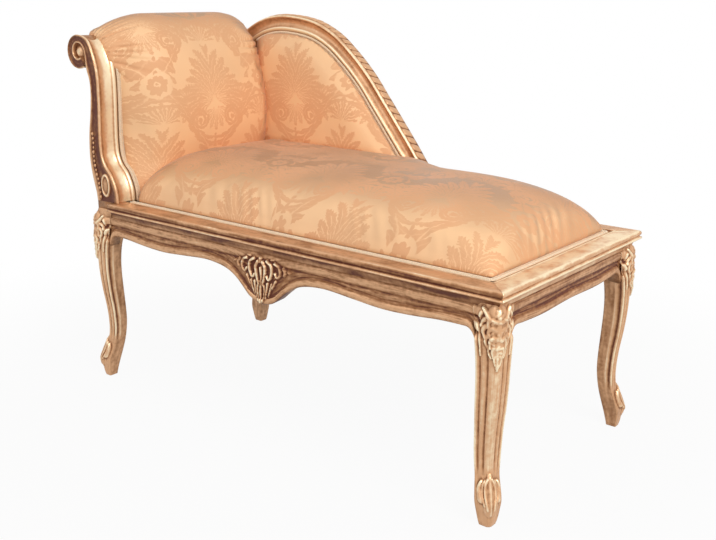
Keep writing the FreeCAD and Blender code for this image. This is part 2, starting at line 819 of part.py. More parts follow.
def make_head_gimp(name, side):
    """Woven braid along a post's inner face, over the tacked edge of the cover."""
    front = side < 0
    body = new_body(name)
    place = "Sizes.post_inner" if front else "-Sizes.post_inner - Sizes.gimp_width"
    sketch = new_sketch(body, "XZ_Plane", place)
    edge = [on_volute(VOLUTE_END, size("volute_radius"))] + list(POST_INNER)
    near = 2 * size("play")
    draw_strip(sketch, edge[::-1], near, near + size("gimp_thickness"), 30)
    doc.recompute()
    add_pad(body, sketch, "Sizes.gimp_width")
    return body


# Swooping back

# Outer edge of the swooping rail, from its tail on the seat frame, up over
# the peak and down behind the rolled head
SWOOP = ((140, 447), (96, 457), (60, 479), (22, 527), (-15, 573), (-55, 622),
         (-98, 674), (-147, 721), (-203, 763), (-270, 790), (-361, 800),
         (-432, 788), (-503, 754))


def swoop_beside(distance, low=None, left=None):
    """Points inside the swooping edge, above a height and right of a limit."""
    points = offset_points(SWOOP, -distance, 24)
    if low is not None:
        points = [point for point in points if point[1] > low]
    if left is not None:
        points = [point for point in points if point[0] > left]
    return points


# Front of the swooping rail's section: how deep each point lies behind the
# front face and how far in from the outer edge; bead, cove, bead, plain band
SWOOP_SECTION = ((5, 0), (1.2, 1.2), (0, 3.8), (2, 7), (5.5, 11), (6.8, 16.5), (5.5, 22),
                 (2, 26), (-1.2, 29), (-0.8, 33), (2, 36), (2, 60))


def draw_swoop_profile(sketch):
    """Moulded section at the tail: bead, cove and bead on the front, then the
    plain band that the cover is tacked to."""
    face = size("back_front")
    rear = size("back_rear")
    top = size("tail_top")
    front = [(face + deep, top - inward) for deep, inward in SWOOP_SECTION]
    draw_lines(sketch, [(rear, top)] + front + [(rear, front[-1][1])], close=True)


def make_swoop(name):
    """Moulded rail swept along the falling back, seated on frame and post."""
    body = new_body(name)
    path = new_sketch(body, "XZ_Plane", "-Sizes.back_rear")
    draw_spline(path, SWOOP)
    section = new_sketch(body, "YZ_Plane", "Sizes.tail_reach")
    draw_swoop_profile(section)
    doc.recompute()
    pipe = body.newObject("PartDesign::AdditivePipe", name + "_sweep")
    pipe.Profile = section
    pipe.Spine = (path, ["Edge1"])
    doc.recompute()
    deep = "Sizes.back_rear - Sizes.back_front + 4 * Sizes.cut_spare"
    add_box(body, ("-Sizes.head_face", "Sizes.back_front - Sizes.cut_spare",
                   "Sizes.frame_top - Sizes.swoop_width"),
            ("Sizes.head_face + Sizes.tail_reach + 4 * Sizes.cut_spare", deep,
             "Sizes.swoop_width"), cut=True)
    cut_post_shape(body)
    return body


def cut_post_shape(body):
    """Cut the rear post's side outline out of a piece of the back."""
    outline = new_sketch(body, "XZ_Plane", "-Sizes.back_rear - Sizes.cut_spare")
    draw_post(outline)
    doc.recompute()
    add_pocket(body, outline, "Sizes.post_outer - Sizes.post_inner + 2 * Sizes.cut_spare",
               towards_normal=True)


def make_back_bottom_rail(name):
    """Rail on the seat frame between the rear post and the swooping rail."""
    body = new_body(name)
    sketch = new_sketch(body, "XZ_Plane", "-Sizes.back_rear")
    low = size("frame_top")
    high = low + size("back_rail_height")
    edge = [point for point in swoop_beside(size("swoop_width") + 2.5, low - 30)
            if point[1] < high + 30]
    curve = spline_through(edge)
    bottom = curve_at_height(curve, low)
    top = curve_at_height(curve, high)
    draw_lines(sketch, [top, (-440, high), (-440, low), bottom, top])
    doc.recompute()
    add_pad(body, sketch, "Sizes.back_rear - Sizes.back_front - Sizes.gimp_thickness")
    cut_post_shape(body)
    return body


def curve_at_height(curve, height):
    """Point of a falling or rising curve at a height, by halving its span."""
    low, high = curve.FirstParameter, curve.LastParameter
    rising = curve.value(high).y > curve.value(low).y
    for _ in range(40):
        middle = (low + high) / 2
        if (curve.value(middle).y < height) == rising:
            low = middle
        else:
            high = middle
    place = curve.value((low + high) / 2)
    return (place.x, place.y)


def draw_back_outline(sketch, distance, bottom, left):
    """Closed outline under the swooping edge, down to a level bottom."""
    edge = swoop_beside(distance, bottom + 6, left)
    corner = [(left, edge[-1][1] - 8), (left, bottom)]
    if bottom < size("flare_top"):
        corner = [corner[0], (left, size("flare_top") + 8), (-size("post_flare") + 4, bottom)]
    draw_spline(sketch, edge)
    draw_lines(sketch, [edge[-1]] + corner + [(edge[0][0] - 6, bottom), edge[0]])


def make_back_pad(name):
    """Stuffed pad in the back, low behind the seat and crowned above it."""
    body = new_body(name)
    base = new_sketch(body, "XZ_Plane", "-Sizes.back_front + Sizes.gimp_thickness")
    draw_back_outline(base, 51, 424, -438)
    doc.recompute()
    add_pad(body, base, "Sizes.back_front - Sizes.gimp_thickness - Sizes.seat_rear"
                        " - Sizes.back_seat_gap")
    sections = []
    for place, distance, bottom, left in (("-Sizes.seat_rear - Sizes.back_seat_gap", 56, 500, -438),
                                          ("-Sizes.seat_rear + 8", 66, 504, -436),
                                          ("-Sizes.seat_rear + 15", 92, 520, -430)):
        sketch = new_sketch(body, "XZ_Plane", place)
        draw_back_outline(sketch, distance, bottom, left)
        sections.append(sketch)
    doc.recompute()
    add_loft(body, sections, ruled=True)
    return body


def make_back_gimp(name):
    body = new_body(name)
    sketch = new_sketch(body, "XZ_Plane", "-Sizes.back_front - Sizes.gimp_thickness")
    show = size("swoop_show")
    inside = swoop_beside(show + size("gimp_width"), 440, -440)
    outside = swoop_beside(show + 0.5, 440, -440)
    draw_spline(sketch, inside)
    draw_lines(sketch, [inside[-1], outside[-1]])
    draw_spline(sketch, outside)
    draw_lines(sketch, [outside[0], inside[0]])
    doc.recompute()
    add_pad(body, sketch, "Sizes.gimp_thickness")
    return body


def make_back_outside_panel(name):
    body = new_body(name)
    sketch = new_sketch(body, "XZ_Plane", "-Sizes.back_rear - 0.2 - Sizes.back_panel")
    draw_back_outline(sketch, 24, 413, -445)
    doc.recompute()
    add_pad(body, sketch, "Sizes.back_panel")
    return body


def back_straps():
    """Upright straps from the bottom rail to the inside of the swooping rail."""
    half = size("strap_width") / 2
    face = size("back_front") + size("gimp_thickness") - 0.2
    edge = swoop_beside(size("swoop_width") - 8)
    low = size("frame_top") + 5
    boxes = []
    for middle in (-375, -295, -215, -135, -55):
        near = [point[1] for point in edge if abs(point[0] - middle) < half + 28]
        boxes.append(((middle - half, face - size("strap_thickness"), low),
                      (middle + half, face, min(near))))
    return boxes


# Seat


def seat_straps(along_x):
    half = size("strap_width") / 2
    low = size("web_height")
    thick = size("strap_thickness")
    if along_x:
        return [((-478, middle - half, low), (501, middle + half, low + thick))
                for middle in (-160, -80, 0, 80, 160)]
    low += thick + 0.2
    return [((middle - half, -215, low), (middle + half, 215, low + thick))
            for middle in range(-385, 480, 95)]


def make_hessian(name):
    body = new_body(name)
    add_box(body, ("-Sizes.hessian_reach", "-Sizes.hessian_half", "Sizes.hessian_low"),
            ("Sizes.hessian_length", "2 * Sizes.hessian_half", "Sizes.hessian_thickness"))
    return body


# Seat pad: height of each level, how far it draws in at the sides and the
# foot, and how far at the head
SEAT_LEVELS = ((408.6, 2, 4), (424, 0, 2), (446, 5, 0), (468, 22, 0), (486, 54, 2),
               (498, 100, 24), (505, 150, 90))


def make_seat_pad(name):
    """Deep crowned seat stuffing, high where it meets the head pad."""
    body = new_body(name)
    sections = []
    for height, sides, head in SEAT_LEVELS:
        sketch = new_sketch(body, "XY_Plane", "%.1f" % height)
        low = (-size("pad_head") + head, -size("seat_rear") + sides)
        high = (size("pad_foot") - sides, size("seat_rear") - sides)
        draw_rounded(sketch, low, high, min(18 + sides * 0.4, 50))
        sections.append(sketch)
    doc.recompute()
    add_loft(body, sections, ruled=True)
    return body


def draw_rounded(sketch, low, high, radius, steps=4):
    """Rectangle with round corners, each of a few short lines."""
    centres = ((high[0] - radius, high[1] - radius), (low[0] + radius, high[1] - radius),
               (low[0] + radius, low[1] + radius), (high[0] - radius, low[1] + radius))
    points = []
    for quarter, centre in enumerate(centres):
        for step in range(steps + 1):
            turn = math.pi / 2 * (quarter + step / float(steps))
            points.append((centre[0] + radius * math.cos(turn),
                           centre[1] + radius * math.sin(turn)))
    draw_lines(sketch, points, close=True)


def make_seat_gimp(name):
    """Braid round the seat cover: along the front, the foot and part of the rear."""
    body = new_body(name)
    low = "Sizes.seat_gimp_low"
    tall = "Sizes.seat_gimp_thickness"
    outer = "(Sizes.side_face + Sizes.lip_overhang - Sizes.border_width)"
    foot = "(Sizes.foot_face + Sizes.lip_overhang - Sizes.border_width)"
    add_box(body, ("-Sizes.post_flare", "-" + outer, low),
            (foot + " + Sizes.post_flare", "Sizes.gimp_width", tall))
    add_box(body, (foot + " - Sizes.gimp_width", "-" + outer, low),
            ("Sizes.gimp_width", "2 * " + outer, tall))
    add_box(body, ("Sizes.tail_reach + 2", outer + " - Sizes.gimp_width", low),
            (foot + " - Sizes.tail_reach - 2", "Sizes.gimp_width", tall))
    return body


def make_dust_cloth(name):
    """Thin cloth under the seat, notched round the four leg heads."""
    body = new_body(name)
    gap = 1
    foot = size("foot_face") - size("rail_thickness") - gap
    head = -size("head_face") + size("rail_thickness") + gap
    side = size("side_face") - size("rail_thickness") - gap
    notch_foot = size("foot_face") - size("leg_block") - gap
    notch_head = -size("head_face") + size("leg_block") + gap
    notch_side = size("side_face") - size("leg_block") - gap
    sketch = new_sketch(body, "XY_Plane", "Sizes.cloth_height")
    draw_lines(sketch, [(head, -notch_side), (notch_head, -notch_side), (notch_head, -side),
                        (notch_foot, -side), (notch_foot, -notch_side), (foot, -notch_side),
                        (foot, notch_side), (notch_foot, notch_side), (notch_foot, side),
                        (notch_head, side), (notch_head, notch_side), (head, notch_side)],
               close=True)
    doc.recompute()
    add_pad(body, sketch, "Sizes.hessian_thickness")
    return body


parts = [make_leg(name, *place) for name, place in LEG_CORNERS.items()]
parts += [make_brace(name.replace("leg", "corner_brace"), *place)
          for name, place in LEG_CORNERS.items()]
parts += [
    make_long_rail("rail_front", -1),
    make_long_rail("rail_rear", 1),
    make_end_rail("rail_foot", 1),
    make_end_rail("rail_head", -1),
    make_long_lip("moulding_front", -1),
    make_long_lip("moulding_rear", 1),
    make_foot_lip("moulding_foot"),
    make_screws("corner_brace_screws"),
    make_post("scroll_post_front", -1),
    make_post("scroll_post_rear", 1),
    make_head_top_rail("head_top_rail"),
    make_head_bottom_rail("head_bottom_rail"),
    make_straps("head_webbing", head_straps()),
    make_head_pad("head_pad"),
    make_head_outside_panel("head_outside_panel"),
    make_head_gimp("head_gimp_front", -1),
    make_head_gimp("head_gimp_rear", 1),
    make_swoop("back_swoop_rail"),
    make_back_bottom_rail("back_bottom_rail"),
    make_straps("back_webbing", back_straps()),
    make_back_pad("back_pad"),
    make_back_gimp("back_gimp"),
    make_back_outside_panel("back_outside_panel"),
    make_straps("seat_webbing_long", seat_straps(True)),
    make_straps("seat_webbing_cross", seat_straps(False)),
    make_hessian("seat_hessian"),
    make_seat_pad("seat_pad"),
    make_seat_gimp("seat_gimp"),
    make_dust_cloth("dust_cloth"),
]

doc.recompute()

failed = [item.Name for item in doc.Objects
          if "Invalid" in item.State or "Error" in item.State]
if failed:
    raise RuntimeError("features failed: " + ", ".join(failed))
for part in parts:
    if part.Shape.isNull() or not part.Shape.isValid():
        raise RuntimeError("bad shape: " + part.Label)

os.makedirs("parts", exist_ok=True)
for part in parts:
    part.Shape.exportStep(os.path.join("parts", part.Label + ".step"))
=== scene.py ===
import math

import bmesh
import bpy
import numpy as np
from bpy.props import FloatProperty, FloatVectorProperty, IntProperty, PointerProperty
from mathutils import Matrix, Vector


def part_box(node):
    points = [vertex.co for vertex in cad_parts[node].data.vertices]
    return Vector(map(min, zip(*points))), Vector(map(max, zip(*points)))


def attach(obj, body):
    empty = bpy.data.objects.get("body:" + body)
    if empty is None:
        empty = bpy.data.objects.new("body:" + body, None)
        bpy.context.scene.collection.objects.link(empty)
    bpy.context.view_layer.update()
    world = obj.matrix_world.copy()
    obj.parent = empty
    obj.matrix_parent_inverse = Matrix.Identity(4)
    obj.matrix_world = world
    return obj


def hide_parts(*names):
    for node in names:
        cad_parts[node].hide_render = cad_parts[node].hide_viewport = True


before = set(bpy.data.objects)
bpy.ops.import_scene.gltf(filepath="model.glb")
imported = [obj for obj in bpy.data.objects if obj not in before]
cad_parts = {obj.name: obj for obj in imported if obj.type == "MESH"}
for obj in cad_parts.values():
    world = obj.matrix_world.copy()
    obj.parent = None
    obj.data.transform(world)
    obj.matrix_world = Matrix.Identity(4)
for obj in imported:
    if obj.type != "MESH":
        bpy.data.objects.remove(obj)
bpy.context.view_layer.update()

bl_info = {
    "name": "Gilt recamier",
    "version": (1, 0, 0),
    "blender": (4, 5, 0),
    "location": "View3D > Sidebar > Recamier",
    "description": "Carving, gilding, damask and braid for a recamier with a scrolled head",
    "category": "Add Mesh",
}

# Outlines below are in millimetres, in the frame's own axes: +X is the foot
# end, -Y the open front and +Z up. Meshes are made in metres.
MM = 0.001


def corners(node):
    """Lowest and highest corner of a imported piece, in millimetres."""
    return [np.array(corner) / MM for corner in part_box(node)]


LIP_LOW, LIP_HIGH = corners("moulding_front")
SEAT_LOW, SEAT_HIGH = corners("seat_pad")
CLOTH_LOW, CLOTH_HIGH = corners("dust_cloth")
FOOT_EDGE = LIP_HIGH[0]
SIDE_EDGE = -LIP_LOW[1]
FRAME_TOP = LIP_HIGH[2]
LIP_OVERHANG = 17.5
SIDE_FACE = SIDE_EDGE - LIP_OVERHANG
FOOT_FACE = FOOT_EDGE - LIP_OVERHANG
HEAD_FACE = 483
RAIL_THICKNESS = 22
LEG_BLOCK = 52
RAIL_TOP = 395


def linear(red, green, blue):
    """A colour from its 0 to 255 screen values, as the shaders want it."""
    parts = [value / 255 for value in (red, green, blue)]
    return tuple(((part + 0.055) / 1.055) ** 2.4 if part > 0.04 else part / 12.92
                 for part in parts)


def colour(name, description, red, green, blue):
    return FloatVectorProperty(name=name, description=description, subtype="COLOR",
                               size=3, min=0, max=1, default=linear(red, green, blue))


def length(name, description, default):
    return FloatProperty(name=name, description=description, unit="LENGTH",
                         default=default * MM, precision=4)


class RecamierSizes(bpy.types.PropertyGroup):
    """Sizes of the carving, the braid and the stuffing"""
    leg_relief: length("Leg carving", "Height of the leaves on knees and toes", 5.0)
    apron_relief: length("Apron carving", "Height of the cartouche's leaves", 7.0)
    groove_depth: length("Leg groove", "Depth of the line beside each leg's ridge", 2.4)
    bead_height: length("Rail bead", "How far the bead on a rail's edge stands out", 4.2)
    seat_crown: length("Seat crown", "Height of the seat's crown above the frame", 97)
    back_swell: length("Back swell", "How far the back's stuffing stands forward", 27)
    braid_width: length("Braid width", "Width of the braid that hides the tacks", 13)
    braid_cover: length("Braid cover", "How far the seat's cover swells over its braid", 4.5)
    braid_step: length("Braid step", "Distance between two knots of a braid's row", 3.6)
    ribbon_step: length("Ribbon step", "Distance between two turns of the carved ribbon", 20)
    pearl_step: length("Pearl step", "Distance between two pearls on a post's foot", 9.5)
    voxel: length("Cloth voxel", "Size of the cells that a cover is simulated with", 6)
    damask_width: length("Damask width", "Width of one repeat of the damask", 290)
    damask_height: length("Damask height", "Height of one repeat of the damask", 350)


class RecamierColours(bpy.types.PropertyGroup):
    """Colours of the finishes"""
    # The bright colour is rubbed gilding and also painted highlights on crests and beads. The
    # worn and glaze colours are bronze and glaze in hollows, and also painted shade on faces
    # turned from the lamps and in recesses.
    gilt_bright: colour("Bright gilding", "Rubbed ridges", 255, 236, 200)
    gilt_plain: colour("Plain gilding", "Flat gilded wood", 221, 172, 130)
    gilt_worn: colour("Worn gilding", "Bronze tone in hollows", 158, 107, 68)
    gilt_glaze: colour("Glaze", "Dark glaze left in the deepest carving", 96, 40, 24)
    # Ground and grazed ground make a painted satin sheen. The material mixes them by the angle to
    # the camera: light facing it, darker at a low angle.
    damask_ground: colour("Damask ground", "Satin ground seen from the front", 254, 207, 159)
    damask_graze: colour("Grazed ground", "Satin ground seen at a low angle", 190, 139, 95)
    damask_figure: colour("Damask figure", "Woven figure of the cover", 232, 172, 126)
    braid: colour("Braid", "Cream cotton braid", 255, 236, 208)
    raw_wood: colour("Raw wood", "Hidden beech frame pieces", 190, 146, 98)
    jute: colour("Jute", "Webbing and hessian", 168, 132, 88)
    cambric: colour("Cambric", "Dust cloth under the seat", 46, 42, 40)
    steel: colour("Steel", "Screws", 130, 128, 124)


class RecamierStage(bpy.types.PropertyGroup):
    """Camera, lamps and floor"""
    place: FloatVectorProperty(name="Camera place", description="Where the camera stands",
                               subtype="TRANSLATION", unit="LENGTH", size=3,
                               default=(1.2266, -1.456, 0.8436))
    heading: FloatProperty(name="Heading", description="View direction from +X towards +Y",
                           subtype="ANGLE", default=math.radians(128.86))
    pitch: FloatProperty(name="Pitch", description="How far the camera looks down",
                         subtype="ANGLE", default=math.radians(16.33))
    roll: FloatProperty(name="Roll", description="Turn of the camera about its own view",
                        subtype="ANGLE", default=math.radians(0.36))
    lens: FloatProperty(name="Lens", description="Focal length in millimetres on 36 mm",
                        default=46.96, min=10, max=200)
    key_power: FloatProperty(name="Key lamp", description="Soft lamp at the foot end",
                             subtype="POWER", default=68)
    fill_power: FloatProperty(name="Fill lamp", description="Soft lamp at the open front",
                              subtype="POWER", default=19)
    sky_level: FloatProperty(name="Room light", description="Even light from all round",
                             default=0.42, min=0, max=2)
    seed: IntProperty(name="Seed", description="Seed of what varies at random", default=7)


def sizes():
    return bpy.context.scene.recamier_sizes


def in_mm(value):
    """A size in metres, in millimetres."""
    return value / MM


# Plane curves and grids

def smooth_curve(points, count):
    """Even points on a curve that runs through given ones."""
    knots = np.asarray(points, float)
    padded = np.vstack([2 * knots[0] - knots[1], knots, 2 * knots[-1] - knots[-2]])
    spots = np.linspace(0, len(knots) - 1, max(8, 12 * len(knots)))
    whole = np.minimum(spots.astype(int), len(knots) - 2)
    part = (spots - whole)[:, None]
    before, start, end, after = (padded[whole + step] for step in range(4))
    dense = 0.5 * (2 * start + (end - before) * part
                   + (2 * before - 5 * start + 4 * end - after) * part ** 2
                   + (3 * start - before - 3 * end + after) * part ** 3)
    return even(dense, count)


def even(points, count):
    """Points at equal steps along a polyline."""
    points = np.asarray(points, float)
    run = np.concatenate([[0], np.cumsum(np.linalg.norm(np.diff(points, axis=0), axis=1))])
    spots = np.linspace(0, run[-1], count)
    return np.stack([np.interp(spots, run, column) for column in points.T], axis=1)


def run_length(points):
    """Length of a polyline."""
    return float(np.linalg.norm(np.diff(points, axis=0), axis=1).sum())


def right_of(points):
    """Unit vectors to the right of a plane curve's run."""
    run = np.gradient(points, axis=0)
    run /= np.linalg.norm(run, axis=1)[:, None]
    return np.stack([run[:, 1], -run[:, 0]], axis=1)


def rise(value, low, high):
    """Smooth step from 0 at low to 1 at high."""
    part = np.clip((value - low) / (high - low), 0, 1)
    return part * part * (3 - 2 * part)


def dome(distance, reach, power=2.0):
    """Height of a rounded edge: 0 at its foot and 1 from reach inwards."""
    part = np.clip(distance / reach, 0, 1)
    return (1 - (1 - part) ** power) ** (1 / power)


def carve(flat, strokes):
    """Relief of round-topped strokes over points of a plane. A stroke is its given points, its
    half widths at both ends and its height."""
    height = np.zeros(len(flat))
    for points, wide_start, wide_end, tall in strokes:
        steps = max(6, int(run_length(np.asarray(points, float)) / 1.2))
        line = smooth_curve(points, steps)
        for centre, reach in zip(line, np.linspace(wide_start, wide_end, steps)):
            near = 1 - ((flat - centre) ** 2).sum(axis=1) / reach ** 2
            height = np.maximum(height, tall * np.sqrt(np.clip(near, 0, None)))
    return height


def softened(relief, passes, closed=False):
    """Relief blurred along both ways of its grid."""
    soft = relief
    for _ in range(passes):
        for axis in (0, 1):
            wide = np.pad(soft, [(1, 1) if side == axis else (0, 0) for side in (0, 1)],
                          mode="wrap" if closed and axis == 1 else "edge")
            low = np.take(wide, range(0, wide.shape[axis] - 2), axis=axis)
            high = np.take(wide, range(2, wide.shape[axis]), axis=axis)
            soft = (low + 2 * soft + high) / 4
    return soft


def streaks(rows, columns, cell, seed):
    """Broken lines of wear along a moulding, about -1 to 1."""
    source = np.random.default_rng(seed)
    knots = source.normal(size=(rows // cell + 3, columns))
    knots = 0.45 * (knots + 0.6 * np.roll(knots, 1, axis=1))
    spots = np.arange(rows) / cell
    places = np.arange(len(knots))
    return np.stack([np.interp(spots, places, knots[:, column]) for column in range(columns)],
                    axis=1)


def both_sides(strokes):
    """Strokes and their mirror images across the line of symmetry."""
    mirrored = [([(-across, along) for across, along in points], *rest)
                for points, *rest in strokes]
    return list(strokes) + mirrored


def grid_faces(rows, columns, close_rows=False, close_columns=False):
    """Four-sided faces over a grid of places, row by row."""
    down = np.arange(rows if close_rows else rows - 1)
    over = np.arange(columns if close_columns else columns - 1)
    row, column = np.meshgrid(down, over, indexing="ij")
    below = (row + 1) % rows
    beside = (column + 1) % columns
    corner = [row * columns + column, below * columns + column,
              below * columns + beside, row * columns + beside]
    return np.stack([part.ravel() for part in corner], axis=1)


def new_piece(name, places, faces, tone=None, uv=None, seal=True):
    """Mesh object from places in millimetres, with its gilding tone, which also carries painted
    highlights and painted shade, and its cloth map, faces turned outwards."""
    mesh = bpy.data.meshes.new(name)
    mesh.from_pydata((np.asarray(places, float) * MM).tolist(), [],
                     faces.tolist() if hasattr(faces, "tolist") else faces)
    piece = bpy.data.objects.new(name, mesh)
    bpy.context.scene.collection.objects.link(piece)
    if tone is not None:
        layer = mesh.attributes.new("gilding", "FLOAT", "POINT")
        layer.data.foreach_set("value", np.asarray(tone, np.float32).ravel())
    if uv is not None:
        loops = np.zeros(len(mesh.loops), int)
        mesh.loops.foreach_get("vertex_index", loops)
        chart = mesh.uv_layers.new(name="cloth")
        chart.data.foreach_set("uv", np.asarray(uv, np.float32)[loops].ravel())
    if seal:
        face_out(mesh)
    mesh.shade_smooth()
    return piece


def face_out(mesh):
    """Close doubled places and turn every face outwards."""
    shell = bmesh.new()
    shell.from_mesh(mesh)
    bmesh.ops.remove_doubles(shell, verts=shell.verts, dist=1e-6)
    bmesh.ops.recalc_face_normals(shell, faces=shell.faces)
    shell.to_mesh(mesh)
    shell.free()


def tube(name, grid, tone):
    """Closed piece from a run of closed sections, with both ends capped."""
    rows, columns = grid.shape[:2]
    faces = grid_faces(rows, columns, close_columns=True).tolist()
    faces.append(list(range(columns)))
    faces.append([(rows - 1) * columns + step for step in range(columns)][::-1])
    tone = np.broadcast_to(tone, (rows, columns))
    return new_piece(name, grid.reshape(-1, 3), faces, tone.ravel())


def join(name, pieces):
    """Several meshes as one piece, keeping their attributes."""
    bpy.ops.object.select_all(action="DESELECT")
    for piece in pieces:
        piece.select_set(True)
    bpy.context.view_layer.objects.active = pieces[0]
    if len(pieces) > 1:
        bpy.ops.object.join()
    pieces[0].name = name
    pieces[0].data.name = name
    return pieces[0]


def dress(piece, finish, slot_name, *nodes):
    """Give a finished piece its material and the nodes it stands for; slot_name is not used."""
    piece.data.materials.clear()
    piece.data.materials.append(finish)
    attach(piece, "root")
    if nodes:
        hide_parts(*nodes)
    return piece


# Node trees

class Wire:
    """A number in a node tree, so that a formula can be written plainly."""

    def __init__(self, tree, socket):
        self.tree = tree
        self.socket = socket

    def maths(self, operation, *others):
        node = self.tree.nodes.new("ShaderNodeMath")
        node.operation = operation
        for slot, value in enumerate((self,) + others):
            plug(self.tree, value, node.inputs[slot])
        return Wire(self.tree, node.outputs[0])

    def __add__(self, other):
        return self.maths("ADD", other)

    def __sub__(self, other):
        return self.maths("SUBTRACT", other)

    def __mul__(self, other):
        return self.maths("MULTIPLY", other)

    def __truediv__(self, other):
        return self.maths("DIVIDE", other)

    def wave(self, turns):
        return (self * turns).maths("SINE")

    def size(self):
        return self.maths("ABSOLUTE")

    def most(self, other):
        return self.maths("MAXIMUM", other)

    def least(self, other):
        return self.maths("MINIMUM", other)

    def wrap(self, half):
        return self.maths("WRAP", half, -half)

    def step(self, low, high):
        """1 past high and 0 before low, smooth between; low may be the larger."""
        node = self.tree.nodes.new("ShaderNodeMapRange")
        node.interpolation_type = "SMOOTHSTEP"
        plug(self.tree, self, node.inputs["Value"])
        node.inputs["From Min"].default_value = low
        node.inputs["From Max"].default_value = high
        return Wire(self.tree, node.outputs[0])


def plug(tree, value, socket):
    if isinstance(value, Wire):
        tree.links.new(value.socket, socket)
    elif isinstance(value, bpy.types.NodeSocket):
        tree.links.new(value, socket)
    else:
        socket.default_value = value


def new_group(name, inputs, outputs):
    """Shader node group; inputs give each socket's kind and default."""
    group = bpy.data.node_groups.new(name, "ShaderNodeTree")
    for label, kind, default in inputs:
        socket = group.interface.new_socket(label, in_out="INPUT", socket_type=kind)
        if default is not None:
            socket.default_value = default
    for label, kind in outputs:
        group.interface.new_socket(label, in_out="OUTPUT", socket_type=kind)
    return group, group.nodes.new("NodeGroupInput"), group.nodes.new("NodeGroupOutput")


def add_node(tree, kind, values=None, **settings):
    """Node with its settings, and values or wires for its named inputs."""
    node = tree.nodes.new(kind)
    for name, value in settings.items():
        setattr(node, name, value)
    for label, value in (values or {}).items():
        plug(tree, value, node.inputs[label])
    return node


def noise_wire(tree, vector, scale, detail=2.0):
    node = add_node(tree, "ShaderNodeTexNoise", {"Vector": vector, "Scale": scale,
                                                 "Detail": detail})
    return Wire(tree, node.outputs["Fac"])


def mix_colour(tree, factor, first, second, blend="MIX"):
    node = add_node(tree, "ShaderNodeMix", data_type="RGBA", blend_type=blend)
    plug(tree, factor, node.inputs[0])
    plug(tree, first, node.inputs[6])
    plug(tree, second, node.inputs[7])
    return node.outputs[2]


def rgba(value):
    return (*value, 1.0)


def new_material(name):
    """Material with one principled shader and its output."""
    material = bpy.data.materials.new(name)
    material.use_nodes = True
    tree = material.node_tree
    tree.nodes.clear()
    shader = tree.nodes.new("ShaderNodeBsdfPrincipled")
    output = tree.nodes.new("ShaderNodeOutputMaterial")
    tree.links.new(shader.outputs[0], output.inputs[0])
    return material, tree, shader


def object_place(tree):
    return tree.nodes.new("ShaderNodeTexCoord").outputs["Object"]


def bump(tree, shader, height, distance, strength=1.0):
    """Fine relief in the shader alone, for threads and brush marks."""
    node = add_node(tree, "ShaderNodeBump", {"Height": height, "Strength": strength,
                                             "Distance": distance})
    tree.links.new(node.outputs[0], shader.inputs["Normal"])


# Warm tint of what the gilding mirrors
WARM_SHINE = (1.0, 0.8, 0.6)


def gilt_wear_and_light_group():
    """Antique gilding: bright where rubbed and where the tone carries painted highlights, bronze
    and glaze where it is deep and where the tone carries painted shade.
    """
    name = "Antique gilding"
    if name in bpy.data.node_groups:
        return bpy.data.node_groups[name]
    kinds = [("Place", "NodeSocketVector", None), ("Gilding", "NodeSocketFloat", 0.5),
             ("Bright", "NodeSocketColor", None), ("Plain", "NodeSocketColor", None),
             ("Worn", "NodeSocketColor", None), ("Glaze", "NodeSocketColor", None)]
    group, given, result = new_group(name, kinds, [("Colour", "NodeSocketColor"),
                                                   ("Rough", "NodeSocketFloat"),
                                                   ("Metal", "NodeSocketFloat"),
                                                   ("Height", "NodeSocketFloat")])
    place = given.outputs["Place"]
    broad = noise_wire(group, place, 9, 3)
    fine = noise_wire(group, place, 120, 3)
    tone = Wire(group, given.outputs["Gilding"])
    tone = tone + (broad - 0.5) * 0.3 + (fine - 0.5) * 0.42
    first = mix_colour(group, tone.step(0.0, 0.26), given.outputs["Glaze"],
                       given.outputs["Worn"])
    second = mix_colour(group, tone.step(0.2, 0.6), first, given.outputs["Plain"])
    third = mix_colour(group, tone.step(0.6, 1.05), second, given.outputs["Bright"])
    plug(group, third, result.inputs["Colour"])
    plug(group, tone.step(0.8, 0.1) * 0.26 + 0.24 + fine * 0.14, result.inputs["Rough"])
    plug(group, tone.step(0.1, 0.7) * 0.35 + 0.15, result.inputs["Metal"])
    plug(group, fine + broad * 0.3, result.inputs["Height"])
    return group


def gilt_material():
    """Gilding over carved wood, bright or worn by each place's own tone, which also holds painted
    highlights and painted shade.
    """
    name = "Gilt finish"
    if name in bpy.data.materials:
        return bpy.data.materials[name]
    colours = bpy.context.scene.recamier_colours
    material, tree, shader = new_material(name)
    layer = add_node(tree, "ShaderNodeAttribute", attribute_name="gilding")
    # The group turns the tone, with its painted highlights and painted shade, into colour,
    # roughness and metal.
    wear = tree.nodes.new("ShaderNodeGroup")
    wear.node_tree = gilt_wear_and_light_group()
    plug(tree, object_place(tree), wear.inputs["Place"])
    plug(tree, layer.outputs["Fac"], wear.inputs["Gilding"])
    for label, value in (("Bright", colours.gilt_bright), ("Plain", colours.gilt_plain),
                         ("Worn", colours.gilt_worn), ("Glaze", colours.gilt_glaze)):
        wear.inputs[label].default_value = rgba(value)
    plug(tree, wear.outputs["Colour"], shader.inputs["Base Color"])
    plug(tree, wear.outputs["Rough"], shader.inputs["Roughness"])
    plug(tree, wear.outputs["Metal"], shader.inputs["Metallic"])
    bump(tree, shader, wear.outputs["Height"], 0.0006, 0.5)
    shader.inputs["Specular Tint"].default_value = rgba(WARM_SHINE)
    shader.inputs["Coat Weight"].default_value = 0.14
    shader.inputs["Coat Roughness"].default_value = 0.14
    return material


def polar(across, along):
    """Distance from the middle and angle from straight up of a plane point."""
    reach = (across * across + along * along).maths("SQRT")
    return reach, across.maths("ARCTAN2", along)


